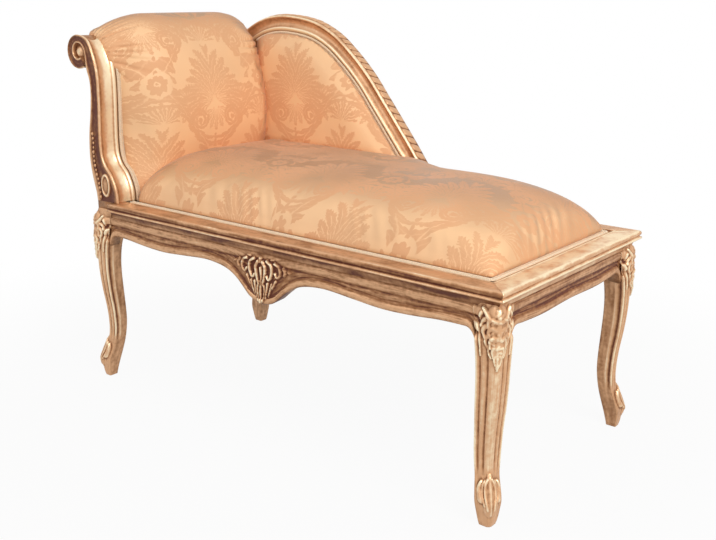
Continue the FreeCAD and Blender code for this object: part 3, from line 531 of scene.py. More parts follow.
def leaf_fan(across, along, spread, tall, low, wide, droop=0.0, groups=0.0):
    """Notched leaves that fan out from a point, with light seams and veins:
    the angle between leaves, their length upwards and sideways, half width,
    how much they bend outwards, and how deeply their tips part in groups."""
    reach, straight = polar(across, along)
    angle = straight - reach * droop
    lean = angle.maths("WRAP", spread / 2, -spread / 2)
    off = (reach * lean.maths("SINE")).size()
    tip = (straight * 0.9).maths("COSINE") * (tall - low) + low
    tip = tip * ((straight * 1.9).maths("COSINE").size() * groups - groups + 1)
    part = reach / tip
    notch = ((reach - off * 0.9) * 480.0).maths("SINE").size() * 0.42
    edge = part * (part * part * part * part * -1 + 1) * 1.75 * wide
    body = (edge * (notch * -1 + 1) - off).step(0.0, 0.0018)
    seam = ((lean.size() * -1 + spread / 2) * reach).step(0.0002, 0.0016)
    midrib = off.step(0.0003, 0.0015).most(part.step(0.74, 0.8)).most(part.step(0.26, 0.2))
    ribs = ((reach - off * 1.5) * 480.0).maths("SINE").size().step(0.0, 0.5)
    return body * seam * (midrib * 0.8 + 0.2) * (ribs * 0.3 + 0.7), straight


def damask_motif(across, along):
    """A palmette over two scrolls, with a bud above and husks below. The place
    is in metres from the motif's middle; across is never negative."""
    palmette, angle = leaf_fan(across, along + 0.042, 0.27, 0.124, 0.098, 0.0165, 5.2, 0.3)
    palmette = palmette * angle.step(2.2, 2.15)
    inner, angle = leaf_fan(across, along + 0.048, 0.34, 0.078, 0.052, 0.0105, 4.0)
    inside = inner.step(0.02, 0.3) * angle.step(1.7, 1.6)
    rim = (inner.step(0.02, 0.2) - inner.step(0.5, 0.9)) * angle.step(1.7, 1.6)
    palmette = palmette * (inside * -1 + 1) + inside * (rim * -0.8 + 0.9)
    bud, angle = leaf_fan(across, along - 0.086, 0.5, 0.056, 0.034, 0.0115)
    bud = bud * angle.step(1.5, 1.45)
    skirt, angle = leaf_fan(across, along * -1 - 0.058, 0.4, 0.056, 0.044, 0.0095)
    skirt = skirt * angle.step(1.45, 1.35)
    curl, turn = polar(across - 0.048, along + 0.086)
    band = (curl - (turn + 3.1416) * 0.0026 - 0.013).size()
    scroll = band.step(0.0074, 0.006) * band.step(0.0004, 0.0014)
    scroll = scroll.most(curl.step(0.007, 0.0056))
    spray, angle = leaf_fan(across * -1 + 0.078, along * -1 - 0.05, 0.5, 0.05, 0.046, 0.0105)
    gap = (along + 0.004).maths("WRAP", 0.0065, -0.0065)
    husk = (across * across + gap * gap).maths("SQRT").step(0.005, 0.0038)
    husk = husk * along.step(-0.106, -0.108) * along.step(-0.15, -0.148)
    return palmette.most(bud).most(skirt * 0.8).most(scroll).most(husk).most(spray * 0.9)


def damask_frame(across, along, width, height):
    """Leafy ogee frame between the palmettes, with a rosette at each crossing."""
    turn = along / height * (2 * math.pi)
    field = (across / width * (2 * math.pi)).maths("COSINE") + turn.maths("COSINE")
    lobes = (turn * 7.0 + field * 5.0).maths("SINE").size()
    band = (lobes * 0.3 + 0.1 - field.size()).step(0.0, 0.03)
    veins = (turn * 14.0 + field * 10.0).maths("SINE").size().step(0.0, 0.5)
    band = band * (field.size().step(0.01, 0.04) * 0.7 + 0.3) * (veins * 0.3 + 0.7)
    half_width, half_height = width * 0.5, height * 0.5
    near = across.maths("WRAP", half_width, half_width * -1)
    up = along.maths("WRAP", half_height, half_height * -1)
    to_side = half_width - near.size()
    to_top = half_height - up.size()
    first, spin = polar(to_side, up)
    second, other = polar(near, to_top)
    disc = first.least(second)
    swing = (spin * 4.0).maths("COSINE") * (other * 4.0).maths("COSINE")
    petals = (swing.size() * 0.006 + 0.017 - disc).step(0.0, 0.0012)
    ring = disc.step(0.0062, 0.0074).most(disc.step(0.0036, 0.0028))
    return (band * disc.step(0.029, 0.032)).most(petals * ring)


def damask_group():
    """Traditional damask: palmettes in a half-drop repeat on a satin ground."""
    name = "Damask figure"
    if name in bpy.data.node_groups:
        return bpy.data.node_groups[name]
    kinds = [("Cloth", "NodeSocketVector", None), ("Width", "NodeSocketFloat", 0.27),
             ("Drop", "NodeSocketFloat", 0.33)]
    group, given, result = new_group(name, kinds, [("Figure", "NodeSocketFloat"),
                                                   ("Thread", "NodeSocketFloat"),
                                                   ("Sheen", "NodeSocketFloat")])
    cloth = given.outputs["Cloth"]
    drift = add_node(group, "ShaderNodeTexNoise", {"Vector": cloth, "Scale": 17.0,
                                                   "Detail": 1.0})
    parts = group.nodes.new("ShaderNodeSeparateXYZ")
    group.links.new(cloth, parts.inputs[0])
    bend = group.nodes.new("ShaderNodeSeparateXYZ")
    group.links.new(drift.outputs["Color"], bend.inputs[0])
    frays = add_node(group, "ShaderNodeTexNoise", {"Vector": cloth, "Scale": 110.0,
                                                   "Detail": 1.0})
    fray = group.nodes.new("ShaderNodeSeparateXYZ")
    group.links.new(frays.outputs["Color"], fray.inputs[0])
    across, along = (Wire(group, parts.outputs[axis])
                     + (Wire(group, bend.outputs[axis]) - 0.5) * 0.017
                     + (Wire(group, fray.outputs[axis]) - 0.5) * 0.0075 for axis in (0, 1))
    width, height = (Wire(group, given.outputs[label]) for label in ("Width", "Drop"))
    side, top = width * 0.5, height * 0.5
    near = damask_motif(across.maths("WRAP", side, side * -1).size(),
                        along.maths("WRAP", top, top * -1))
    far = damask_motif((across + side).maths("WRAP", side, side * -1).size(),
                       (along + top).maths("WRAP", top, top * -1))
    leaves = damask_frame(across, along, width, height)
    plug(group, near.most(far).most(leaves), result.inputs["Figure"])
    warp = (across.wave(5200.0) * 0.5 + along.wave(4300.0) * 0.5)
    plug(group, warp, result.inputs["Thread"])
    plug(group, noise_wire(group, cloth, 7, 2), result.inputs["Sheen"])
    return group


def damask_material():
    """Satin with a painted sheen, its colour darkening as it turns away from the camera, and its
    woven figure.
    """
    name = "Silk damask"
    if name in bpy.data.materials:
        return bpy.data.materials[name]
    colours = bpy.context.scene.recamier_colours
    material, tree, shader = new_material(name)
    chart = add_node(tree, "ShaderNodeUVMap", uv_map="cloth")
    weave = tree.nodes.new("ShaderNodeGroup")
    weave.node_tree = damask_group()
    weave.inputs["Width"].default_value = sizes().damask_width
    weave.inputs["Drop"].default_value = sizes().damask_height
    plug(tree, chart.outputs[0], weave.inputs["Cloth"])
    figure = Wire(tree, weave.outputs["Figure"])
    sheen = Wire(tree, weave.outputs["Sheen"])
    facing = Wire(tree, add_node(tree, "ShaderNodeLayerWeight", {"Blend": 0.5}).outputs["Facing"])
    # Painted sheen: the ground's colour turns from the front colour to the grazed colour as the
    # surface turns away from the camera.
    satin = mix_colour(tree, facing.step(0.25, 0.8), rgba(colours.damask_ground),
                       rgba(colours.damask_graze))
    woven = figure * (sheen.step(0.3, 0.7) * 0.3 + 0.55)
    cover = mix_colour(tree, woven, satin, rgba(colours.damask_figure))
    shade = (sheen - 0.5) * 0.3 + 1.0
    cover = mix_colour(tree, 1.0, cover, combine(tree, shade), "MULTIPLY")
    plug(tree, cover, shader.inputs["Base Color"])
    plug(tree, figure * 0.2 + 0.42, shader.inputs["Roughness"])
    shader.inputs["Specular IOR Level"].default_value = 0.35
    shader.inputs["Sheen Weight"].default_value = 0.25
    shader.inputs["Sheen Roughness"].default_value = 0.4
    bump(tree, shader, figure * 0.35 + Wire(tree, weave.outputs["Thread"]) * 0.3, 0.0004, 0.5)
    return material


def combine(tree, value):
    """A grey from a number."""
    node = tree.nodes.new("ShaderNodeCombineColor")
    for socket in node.inputs[:3]:
        plug(tree, value, socket)
    return node.outputs[0]


# Warm shade between a braid's knots
KNOT_SHADE = (0.88, 0.7, 0.54)


def woven_material(name, base, pitch, depth, knotted=False):
    """Plain woven stuff: braid threads, jute, hessian and cambric. Knotted
    stuff is darker between its knots."""
    if name in bpy.data.materials:
        return bpy.data.materials[name]
    material, tree, shader = new_material(name)
    place = object_place(tree)
    parts = tree.nodes.new("ShaderNodeSeparateXYZ")
    tree.links.new(place, parts.inputs[0])
    turns = 2 * math.pi / (pitch * MM)
    threads = [Wire(tree, parts.outputs[axis]).wave(turns) for axis in range(3)]
    weave = threads[0] * threads[1] * 0.5 + threads[2] * 0.25 + 0.5
    flecks = noise_wire(tree, place, 260, 2)
    shade = weave * 0.22 + flecks * 0.3 + 0.72
    cover = mix_colour(tree, 1.0, rgba(base), combine(tree, shade), "MULTIPLY")
    if knotted:
        layer = add_node(tree, "ShaderNodeAttribute", attribute_name="gilding")
        deep = Wire(tree, layer.outputs["Fac"]).step(0.75, 0.2)
        warm = mix_colour(tree, 1.0, cover, rgba(KNOT_SHADE), "MULTIPLY")
        cover = mix_colour(tree, deep, cover, warm)
    plug(tree, cover, shader.inputs["Base Color"])
    plug(tree, flecks * 0.2 + 0.68, shader.inputs["Roughness"])
    shader.inputs["Sheen Weight"].default_value = 0.3
    bump(tree, shader, weave, depth * MM, 0.7)
    return material


def wood_material():
    """Hidden beech, planed and left raw."""
    name = "Planed beech"
    if name in bpy.data.materials:
        return bpy.data.materials[name]
    material, tree, shader = new_material(name)
    stretch = add_node(tree, "ShaderNodeMapping", {"Vector": object_place(tree),
                                                   "Scale": (4, 26, 26)})
    grain = noise_wire(tree, stretch.outputs[0], 9, 4)
    base = bpy.context.scene.recamier_colours.raw_wood
    cover = mix_colour(tree, 1.0, rgba(base), combine(tree, grain * 0.5 + 0.72), "MULTIPLY")
    plug(tree, cover, shader.inputs["Base Color"])
    plug(tree, grain * 0.2 + 0.55, shader.inputs["Roughness"])
    bump(tree, shader, grain, 0.0004, 0.5)
    return material


def steel_material():
    """Screws, dulled by use."""
    name = "Worn steel"
    if name in bpy.data.materials:
        return bpy.data.materials[name]
    material, tree, shader = new_material(name)
    marks = noise_wire(tree, object_place(tree), 400, 3)
    base = bpy.context.scene.recamier_colours.steel
    plug(tree, mix_colour(tree, marks, rgba(base), rgba([part * 0.55 for part in base])),
         shader.inputs["Base Color"])
    plug(tree, marks * 0.3 + 0.3, shader.inputs["Roughness"])
    shader.inputs["Metallic"].default_value = 1.0
    return material


# What repeats along a path

def path_tree():
    """Geometry nodes that set copies of a small piece along a path."""
    name = "Pieces along a path"
    if name in bpy.data.node_groups:
        return bpy.data.node_groups[name]
    tree = bpy.data.node_groups.new(name, "GeometryNodeTree")
    face = tree.interface
    for label, kind, default in (("Path", "NodeSocketGeometry", None),
                                 ("Piece", "NodeSocketObject", None),
                                 ("Spacing", "NodeSocketFloat", 0.004),
                                 ("Tilt", "NodeSocketFloat", 0.0),
                                 ("Size", "NodeSocketVector", None),
                                 ("Unevenness", "NodeSocketFloat", 0.06),
                                 ("Seed", "NodeSocketInt", 7),
                                 ("Finish", "NodeSocketMaterial", None)):
        socket = face.new_socket(label, in_out="INPUT", socket_type=kind)
        if default is not None:
            socket.default_value = default
    face.new_socket("Pieces", in_out="OUTPUT", socket_type="NodeSocketGeometry")
    given = tree.nodes.new("NodeGroupInput")
    result = tree.nodes.new("NodeGroupOutput")
    curve = add_node(tree, "GeometryNodeMeshToCurve", {"Mesh": given.outputs["Path"]})
    spots = add_node(tree, "GeometryNodeResampleCurve", {"Curve": curve.outputs[0]},
                     mode="LENGTH")
    plug(tree, given.outputs["Spacing"], spots.inputs["Length"])
    turned = None
    for axis, label, pivot in (("X", "run", "AUTO"), ("Z", "out", "X")):
        towards = add_node(tree, "GeometryNodeInputNamedAttribute", {"Name": label},
                           data_type="FLOAT_VECTOR")
        align = add_node(tree, "FunctionNodeAlignRotationToVector",
                         {"Vector": towards.outputs["Attribute"]}, axis=axis, pivot_axis=pivot)
        if turned:
            plug(tree, turned, align.inputs["Rotation"])
        turned = align.outputs[0]
    lean = add_node(tree, "FunctionNodeAxisAngleToRotation", {"Axis": (0, 0, 1)})
    plug(tree, given.outputs["Tilt"], lean.inputs["Angle"])
    spin = add_node(tree, "FunctionNodeRotateRotation", {"Rotation": turned},
                    rotation_space="LOCAL")
    plug(tree, lean.outputs[0], spin.inputs["Rotate By"])
    chance = add_node(tree, "FunctionNodeRandomValue", data_type="FLOAT")
    plug(tree, given.outputs["Seed"], chance.inputs["Seed"])
    chance.inputs[2].default_value = -1.0
    chance.inputs[3].default_value = 1.0
    part = Wire(tree, chance.outputs[1]) * Wire(tree, given.outputs["Unevenness"]) + 1.0
    grown = add_node(tree, "ShaderNodeVectorMath", {0: given.outputs["Size"]},
                     operation="SCALE")
    plug(tree, part, grown.inputs["Scale"])
    source = add_node(tree, "GeometryNodeObjectInfo", {"Object": given.outputs["Piece"]})
    copies = add_node(tree, "GeometryNodeInstanceOnPoints",
                      {"Points": spots.outputs[0], "Instance": source.outputs["Geometry"],
                       "Rotation": spin.outputs[0], "Scale": grown.outputs[0]})
    real = add_node(tree, "GeometryNodeRealizeInstances", {"Geometry": copies.outputs[0]})
    finish = add_node(tree, "GeometryNodeSetMaterial", {"Geometry": real.outputs[0],
                                                        "Material": given.outputs["Finish"]})
    tree.links.new(finish.outputs[0], result.inputs[0])
    return tree


def along_path(name, points, outs, seed_piece, finish, spacing, size=(1, 1, 1), tilt=0.0,
               unevenness=0.06):
    """Copies of a piece along a path, as one plain mesh."""
    points = np.asarray(points, float)
    edges = np.stack([np.arange(len(points) - 1), np.arange(1, len(points))], axis=1)
    mesh = bpy.data.meshes.new(name + "_path")
    mesh.from_pydata((points * MM).tolist(), edges.tolist(), [])
    for label, vectors in (("run", np.gradient(points, axis=0)), ("out", outs)):
        layer = mesh.attributes.new(label, "FLOAT_VECTOR", "POINT")
        vectors = np.broadcast_to(np.asarray(vectors, np.float32), points.shape)
        layer.data.foreach_set("vector", np.ascontiguousarray(vectors, np.float32).ravel())
    carrier = bpy.data.objects.new(name + "_path", mesh)
    bpy.context.scene.collection.objects.link(carrier)
    tree = path_tree()
    growth = carrier.modifiers.new("Pieces", "NODES")
    growth.node_group = tree
    values = {"Piece": seed_piece, "Spacing": spacing, "Tilt": tilt, "Size": size,
              "Unevenness": unevenness, "Seed": bpy.context.scene.recamier_stage.seed,
              "Finish": finish}
    for socket in tree.interface.items_tree:
        if socket.in_out == "INPUT" and socket.name in values:
            growth[socket.identifier] = values[socket.name]
    return frozen(carrier, name)


def frozen(carrier, name):
    """The evaluated shape of an object as a plain mesh piece; the object goes."""
    bpy.context.view_layer.update()
    seen = carrier.evaluated_get(bpy.context.evaluated_depsgraph_get())
    mesh = bpy.data.meshes.new_from_object(seen)
    mesh.name = name
    piece = bpy.data.objects.new(name, mesh)
    bpy.context.scene.collection.objects.link(piece)
    bpy.data.objects.remove(carrier)
    mesh.shade_smooth()
    return piece


def small_dome(name, long, wide, tall, rings=3, spokes=8, low_tone=0.2, high_tone=1.0,
               square=1.0, slant=0.0):
    """Small knob on the plane z = 0, used for pearls, knots and ribbons; square
    is less than 1 for straighter sides, and slant leans it along its run."""
    places = [(0, 0, tall)]
    tones = [high_tone]
    for ring in range(1, rings + 1):
        lean = math.pi / 2 * ring / rings
        for spoke in range(spokes):
            turn = 2 * math.pi * spoke / spokes
            across, along = (math.copysign(abs(part) ** square, part)
                             for part in (math.cos(turn), math.sin(turn)))
            places.append((math.sin(lean) * (long * across + slant * along),
                           wide * math.sin(lean) * along, tall * math.cos(lean)))
            # Tone rises towards the knob's top: a painted highlight on its crest.
            tones.append(low_tone + (high_tone - low_tone) * math.cos(lean) ** 0.7)
    faces = [(0, 1 + step, 1 + (step + 1) % spokes) for step in range(spokes)]
    for ring in range(rings - 1):
        start = 1 + ring * spokes
        for step in range(spokes):
            beside = (step + 1) % spokes
            faces.append((start + step, start + spokes + step, start + spokes + beside,
                          start + beside))
    faces.append([1 + (rings - 1) * spokes + step for step in range(spokes)][::-1])
    return new_piece(name, places, faces, tones)


def remove(*pieces):
    for piece in pieces:
        bpy.data.objects.remove(piece)


# Legs

# Height, outer and inner silhouette along the leg's diagonal, and the rounding
# of its ridge
LEG_STATIONS = ((0, 10, -16, 8), (10, 13, -18.5, 9), (26, 15, -23, 10), (42, 15.5, -28, 10),
                (60, 9, -33.5, 10), (82, 0, -39.5, 10), (106, -4.5, -44, 11),
                (132, -5, -46.5, 12), (165, -2.5, -46, 13), (206, 3.5, -44, 14),
                (245, 7.5, -42.5, 14), (280, 9, -43.5, 13), (316, 9, -49, 12),
                (350, 7, -62, 10), (374, 5, -66, 9), (384, 3, -68, 8), (394, 0, -72, 4))
LEG_ROWS = 230
OUTER_STEPS = 34
INNER_STEPS = 12
ROOT_TWO = math.sqrt(2)
# Carving in distance from the ridge and height: points, half widths, height
KNEE_MIDDLE = [([(0, 361), (1, 340), (-1, 315), (0, 279)], 5.5, 2.2, 0.8),
               ([(0, 377), (0, 370), (1, 360)], 5, 4, 1.0)]
KNEE_SIDE = [([(4, 360), (11, 362), (17, 357), (17, 349)], 6, 3.6, 0.95),
             ([(3, 346), (10, 348), (17, 342), (17, 333)], 6, 3.2, 0.8),
             ([(3, 331), (9, 332), (14, 326), (13, 316)], 5.4, 2.6, 0.95),
             ([(2, 317), (7, 317), (10, 310), (8, 301)], 4.4, 2.2, 0.75),
             ([(1, 304), (4, 303), (6, 296), (4, 288)], 3.4, 1.6, 0.75),
             ([(28, 378), (24, 373), (19, 367), (14, 362)], 3, 6, 1.0),
             ([(17, 350), (24, 348), (28, 340), (24, 330)], 5.4, 2.6, 0.85),
             ([(15, 335), (21, 332), (23, 324), (19, 313)], 4.4, 2.2, 0.7),
             ([(13, 320), (17, 316), (17, 308), (12, 299)], 3.6, 1.8, 0.55),
             ([(24, 360), (30, 356), (32, 349)], 4.6, 2.6, 0.8),
             ([(31, 370), (35, 365), (36, 359)], 3.8, 2.4, 0.6),
             ([(57, 356), (49, 355), (42, 349), (37, 337), (34, 318), (32, 299)], 5.4, 1.4, 0.75)]
TOE_MIDDLE = [([(0, 86), (0, 70), (0, 50), (0, 26)], 2.8, 2.4, 0.75)]
TOE_SIDE = [([(3, 84), (8, 74), (9, 58), (5, 36)], 2.6, 2.6, 0.8),
            ([(9, 80), (14, 70), (15, 56), (11, 42)], 2.4, 2.6, 0.7),
            ([(16, 78), (20, 70), (21, 62), (19, 51)], 2.4, 7.5, 1.1)]


def leg_loop(tip, middle, half, rounding):
    """Plan of a leg at one height: places along and across its diagonal, with
    each place's distance from the ridge along the outer faces."""
    face = half * ROOT_TWO
    out = np.linspace(0, 1, OUTER_STEPS)
    away = face * out
    along = tip - away / ROOT_TWO
    across = away / ROOT_TWO
    turn = np.radians(45) * np.clip(away / rounding, 0, 1)
    near = away < rounding
    centre = tip - rounding * ROOT_TWO
    along = np.where(near, centre + rounding * np.cos(turn), along)
    across = np.where(near, rounding * np.sin(turn), across)
    back = np.linspace(0, 1, INNER_STEPS + 2)[1:]
    behind = np.stack([middle - half * back, half * (1 - back)], axis=1)
    side = np.vstack([np.stack([along, across], axis=1), behind])
    reach = np.concatenate([away, face + half * ROOT_TWO * back])
    other = side[1:-1][::-1] * (1, -1)
    return np.vstack([side, other]), np.concatenate([reach, -reach[1:-1][::-1]])


def nicks():
    """Small chisel facets scattered over a knee's leaves."""
    source = np.random.default_rng(bpy.context.scene.recamier_stage.seed)
    spots = np.stack([source.normal(0, 15, 46), source.uniform(284, 372, 46)], axis=1)
    return [([tuple(spot), tuple(spot + source.normal(0, 4, 2))], 2.6, 1.2, 1.0)
            for spot in spots]


def leg_grid():
    """All sections of a leg before it is turned to its corner, and its tone."""
    stations = smooth_curve(LEG_STATIONS, 300)
    heights = np.linspace(0, LEG_STATIONS[-1][0], LEG_ROWS)
    outer, inner, rounding = (np.interp(heights, stations[:, 0], stations[:, column])
                              for column in (1, 2, 3))
    tip = outer + (ROOT_TWO - 1) * rounding
    plans, reaches = [], []
    for row in range(LEG_ROWS):
        half = (tip[row] - inner[row]) / 2
        plan, reach = leg_loop(tip[row], tip[row] - half, half, rounding[row])
        for _ in range(2):
            plan = (np.roll(plan, 1, axis=0) + 2 * plan + np.roll(plan, -1, axis=0)) / 4
        plans.append(plan)
        reaches.append(reach)
    plans, reaches = np.array(plans), np.array(reaches)
    level = np.broadcast_to(heights[:, None], reaches.shape)
    run = np.roll(plans, -1, axis=1) - np.roll(plans, 1, axis=1)
    run /= np.linalg.norm(run, axis=2)[:, :, None] + 1e-9
    normal = np.stack([run[:, :, 1], -run[:, :, 0]], axis=2)
    normal *= np.sign((normal[:, :1] * (1, 0)).sum(axis=2))[:, :, None]
    strokes = KNEE_MIDDLE + both_sides(KNEE_SIDE) + TOE_MIDDLE + both_sides(TOE_SIDE)
    flat = np.stack([reaches, level], axis=2).reshape(-1, 2)
    leaf = carve(flat, strokes).reshape(reaches.shape)
    body = carve(flat, [([(0, 364), (0, 326), (0, 284)], 23, 4, 0.6),
                        ([(0, 88), (0, 60), (0, 34)], 5, 14, 0.4)]).reshape(reaches.shape)
    leaf = np.maximum(leaf, body) + 0.3 * body
    leaf = leaf + 0.22 * carve(flat, nicks()).reshape(reaches.shape) * (leaf > 0.3)
    away = np.abs(reaches)
    half = ((tip - inner) / 2)[:, None]
    face = half * ROOT_TWO
    shaft = rise(level, 80, 108) * rise(level, 344, 306)
    lines = -in_mm(sizes().groove_depth) * np.exp(-((away - face * 0.46) / 2.0) ** 2)
    lines -= 1.8 * np.exp(-((away - face * 0.8) / 1.8) ** 2)
    lines += 1.0 * np.exp(-((away - face * 0.63) / 2.4) ** 2)
    corner = np.exp(-((away - face * 0.95) / 2.4) ** 2)
    lines += 1.4 * corner - 1.6 * np.exp(-((away - face * 1.17) / 2.0) ** 2)
    second = np.exp(-((away - face * 1.36) / 2.6) ** 2)
    lines += 1.0 * second
    moulded = rail_relief(337, level)[0] * rise(away, 24, 40) * (level > 334)
    moulded = moulded * (away <= face + 1)
    to_rail_face = tip[:, None] / ROOT_TWO - 0.6
    moulded -= to_rail_face * rise(away / face, 0.52, 0.94) * rise(level, 322, 342)
    swell = 1.2 * np.exp(-(away / 26) ** 4) * rise(level, 284, 326) * rise(level, 384, 366)
    swell += 1.2 * np.exp(-(away / 20) ** 4) * rise(level, 22, 40) * rise(level, 90, 76)
    lift = leaf * in_mm(sizes().leg_relief) + lines * shaft + moulded + swell
    grain = streaks(*lift.shape, 14, 3) * 0.1
    # Tone is brighter on crests and darker in hollows, as rubbed gilding and glaze and also as
    # painted highlights and painted shade. A broad painted highlight runs down the middle of the
    # shaft and along its corner and second beads. The inner faces are a little darker.
    tone = 0.54 + 0.18 * (lift - softened(lift, 14, True)) + grain
    tone = tone + 0.14 * (lift - softened(lift, 3, True)) - 0.12 * (away > face + 2)
    tone = tone + 0.26 * shaft * np.exp(-(away / (face * 0.3)) ** 4)
    tone = tone + shaft * (0.24 * corner + 0.2 * second)
    plans = plans + normal * lift[:, :, None]
    return plans, level, tone


def turned_leg(name, plans, level, tone, corner_x, corner_y, turn):
    """A leg set at its corner of the frame."""
    along = (plans[:, :, 0] - plans[:, :, 1]) / ROOT_TWO
    across = (plans[:, :, 0] + plans[:, :, 1]) / ROOT_TWO
    spin = math.radians(turn)
    grid = np.stack([corner_x + along * math.cos(spin) - across * math.sin(spin),
                     corner_y + along * math.sin(spin) + across * math.cos(spin),
                     level], axis=2)
    return tube(name, grid, tone)


class RECAMIER_OT_legs(bpy.types.Operator):
    """Carve the four cabriole legs"""
    bl_idname = "recamier.legs"
    bl_label = "Legs"

    def execute(self, context):
        plans, level, tone = leg_grid()
        for node, corner_x, corner_y, turn in (
                ("leg_foot_rear", FOOT_FACE, SIDE_FACE, 0),
                ("leg_head_rear", -HEAD_FACE, SIDE_FACE, 90),
                ("leg_head_front", -HEAD_FACE, -SIDE_FACE, 180),
                ("leg_foot_front", FOOT_FACE, -SIDE_FACE, 270)):
            leg = turned_leg("carved_" + node, plans, level, tone, corner_x, corner_y, turn)
            dress(leg, gilt_material(), "gilt_wood", node)
        return {"FINISHED"}


# Rails

# Lower edge of the apron, as distance from its middle and height
APRON_MIDDLE = 20
APRON_EDGE = ((0, 276), (15, 279), (33, 287), (53, 304), (73, 319), (97, 330), (128, 336),
              (166, 337.5), (226, 333), (286, 329), (345, 331), (405, 336), (462, 338))
PLAIN_EDGE = ((-0.85, 335), (-0.5, 332), (0, 334.5), (0.5, 332), (0.85, 335))
RAIL_ROWS = 70
# How a rail's edge turns down into a leg: distance past the rail's end, height
TURN_DOWN = ((-9, 337), (0, 335.5), (6, 331), (11, 323.5), (15, 312))
# Cartouche carving about the apron's middle: points, half widths, height
CARTOUCHE_MIDDLE = [([(0, 350), (2, 330), (-1, 306), (0, 282)], 3.4, 2.2, 0.9),
                    ([(0, 368), (0, 362)], 5, 4, 0.8)]
CARTOUCHE_SIDE = [([(6, 362), (12, 352), (10, 334), (5, 318)], 4.4, 2.2, 1.0),
                  ([(3, 324), (9, 312), (8, 298), (4, 284)], 2.8, 1.8, 0.8),
                  ([(18, 366), (28, 358), (29, 344), (22, 330), (16, 336)], 3.8, 2.6, 1.0),
                  ([(38, 364), (48, 358), (50, 346), (43, 338), (37, 345)], 3.6, 2.4, 0.9),
                  ([(17, 322), (15, 310), (11, 292)], 2.8, 1.8, 0.8),
                  ([(27, 322), (23, 310), (18, 296)], 2.4, 1.6, 0.65),
                  ([(38, 330), (33, 322), (28, 314)], 2.8, 2.0, 0.7),
                  ([(58, 358), (62, 352), (60, 345)], 3.8, 2.8, 0.85),
                  ([(70, 354), (74, 351)], 3.2, 2.4, 0.75),
                  ([(28, 370), (34, 371)], 2.6, 2.0, 0.5)]


def rail_relief(edge, height):
    """How far a rail's face stands out, and its tone, over its lower edge."""
    above = height - edge
    bead = np.clip(1 - ((above - 7.5) / 7.5) ** 2, 0, None) ** 0.5 * (above < 15)
    groove = np.exp(-((above - 17.5) / 1.8) ** 2)
    fascia = np.clip(1 - ((height - 369) / 8) ** 2, 0, None) ** 0.5 * (height > 361)
    hollow = np.exp(-((height - 358.5) / 2.0) ** 2)
    lift = bead * in_mm(sizes().bead_height) + fascia * 3.0 - groove * 1.4 - hollow * 1.6
    # Tone: painted highlights on the crests of the bead and fascia, painted shade in the groove
    # and the hollow, and a low tone on the faces that is partly painted shade; darker still above
    # 378 mm.
    tone = 0.32 + 0.26 * bead ** 4 + 0.2 * fascia ** 3 - 0.22 * groove - 0.22 * hollow
    tone = tone - 0.1 * (height > 378)
    return lift, tone


def rail_piece(name, edge_points, low, high, place, cartouche=False, darker=0.0):
    """Rail with a bead on its shaped edge: place turns run, depth and height
    into the frame's axes, with depth counted outwards from the rail's face."""
    run = np.linspace(low, high, int((high - low) / (1.6 if cartouche else 3)))
    curve = smooth_curve(edge_points, 400)
    edge = np.interp(run, curve[:, 0], curve[:, 1])
    part = np.linspace(0, 1, RAIL_ROWS)[:, None]
    height = (RAIL_TOP - 1) * (1 - part) + edge[None, :] * part
    edges = np.broadcast_to(edge, height.shape)
    lift, tone = rail_relief(edges, height)
    if cartouche:
        from_middle = np.broadcast_to(run - APRON_MIDDLE, height.shape)
        flat = np.stack([from_middle, height], axis=2).reshape(-1, 2)
        strokes = CARTOUCHE_MIDDLE + both_sides(CARTOUCHE_SIDE)
        leaf = carve(flat, strokes).reshape(height.shape)
        field = np.exp(-(from_middle / 62) ** 4) * rise(height, 268, 292)
        field = field * rise(height, 377, 366)
        lift = lift * (1 - field * 0.85 * (height > edges + 12)) + field * 2.0
        lift = lift + leaf * in_mm(sizes().apron_relief)
        # Cartouche tone: the field darkened as glaze and painted shade, with painted highlights
        # on the crests of its leaves.
        crest = lift - softened(lift, 10)
        tone = tone * (1 - field * 0.45) + field * (0.16 * crest + 0.02)
        tone = tone + field * 0.2 * (lift - softened(lift, 2))
    # darker lowers a rail's whole tone as painted shade, used on the foot rail that faces the key
    # lamp.
    tone = tone - darker + streaks(len(run), RAIL_ROWS, 9, 5).T * 0.16
    front = np.stack([np.broadcast_to(run, height.shape), lift, height], axis=2)
    back_rows = 3
    back = [np.stack([run, np.full_like(run, -RAIL_THICKNESS), edge + (RAIL_TOP - 1 - edge) * up],
                     axis=1) for up in np.linspace(0.02, 1, back_rows)]
    grid = np.concatenate([front, np.array(back)], axis=0).transpose(1, 0, 2)
    tones = np.concatenate([tone, np.full((back_rows, len(run)), 0.3)], axis=0).T
    placed = place(grid[:, :, 0], grid[:, :, 1], grid[:, :, 2])
    return tube(name, np.stack(placed, axis=2), tones)


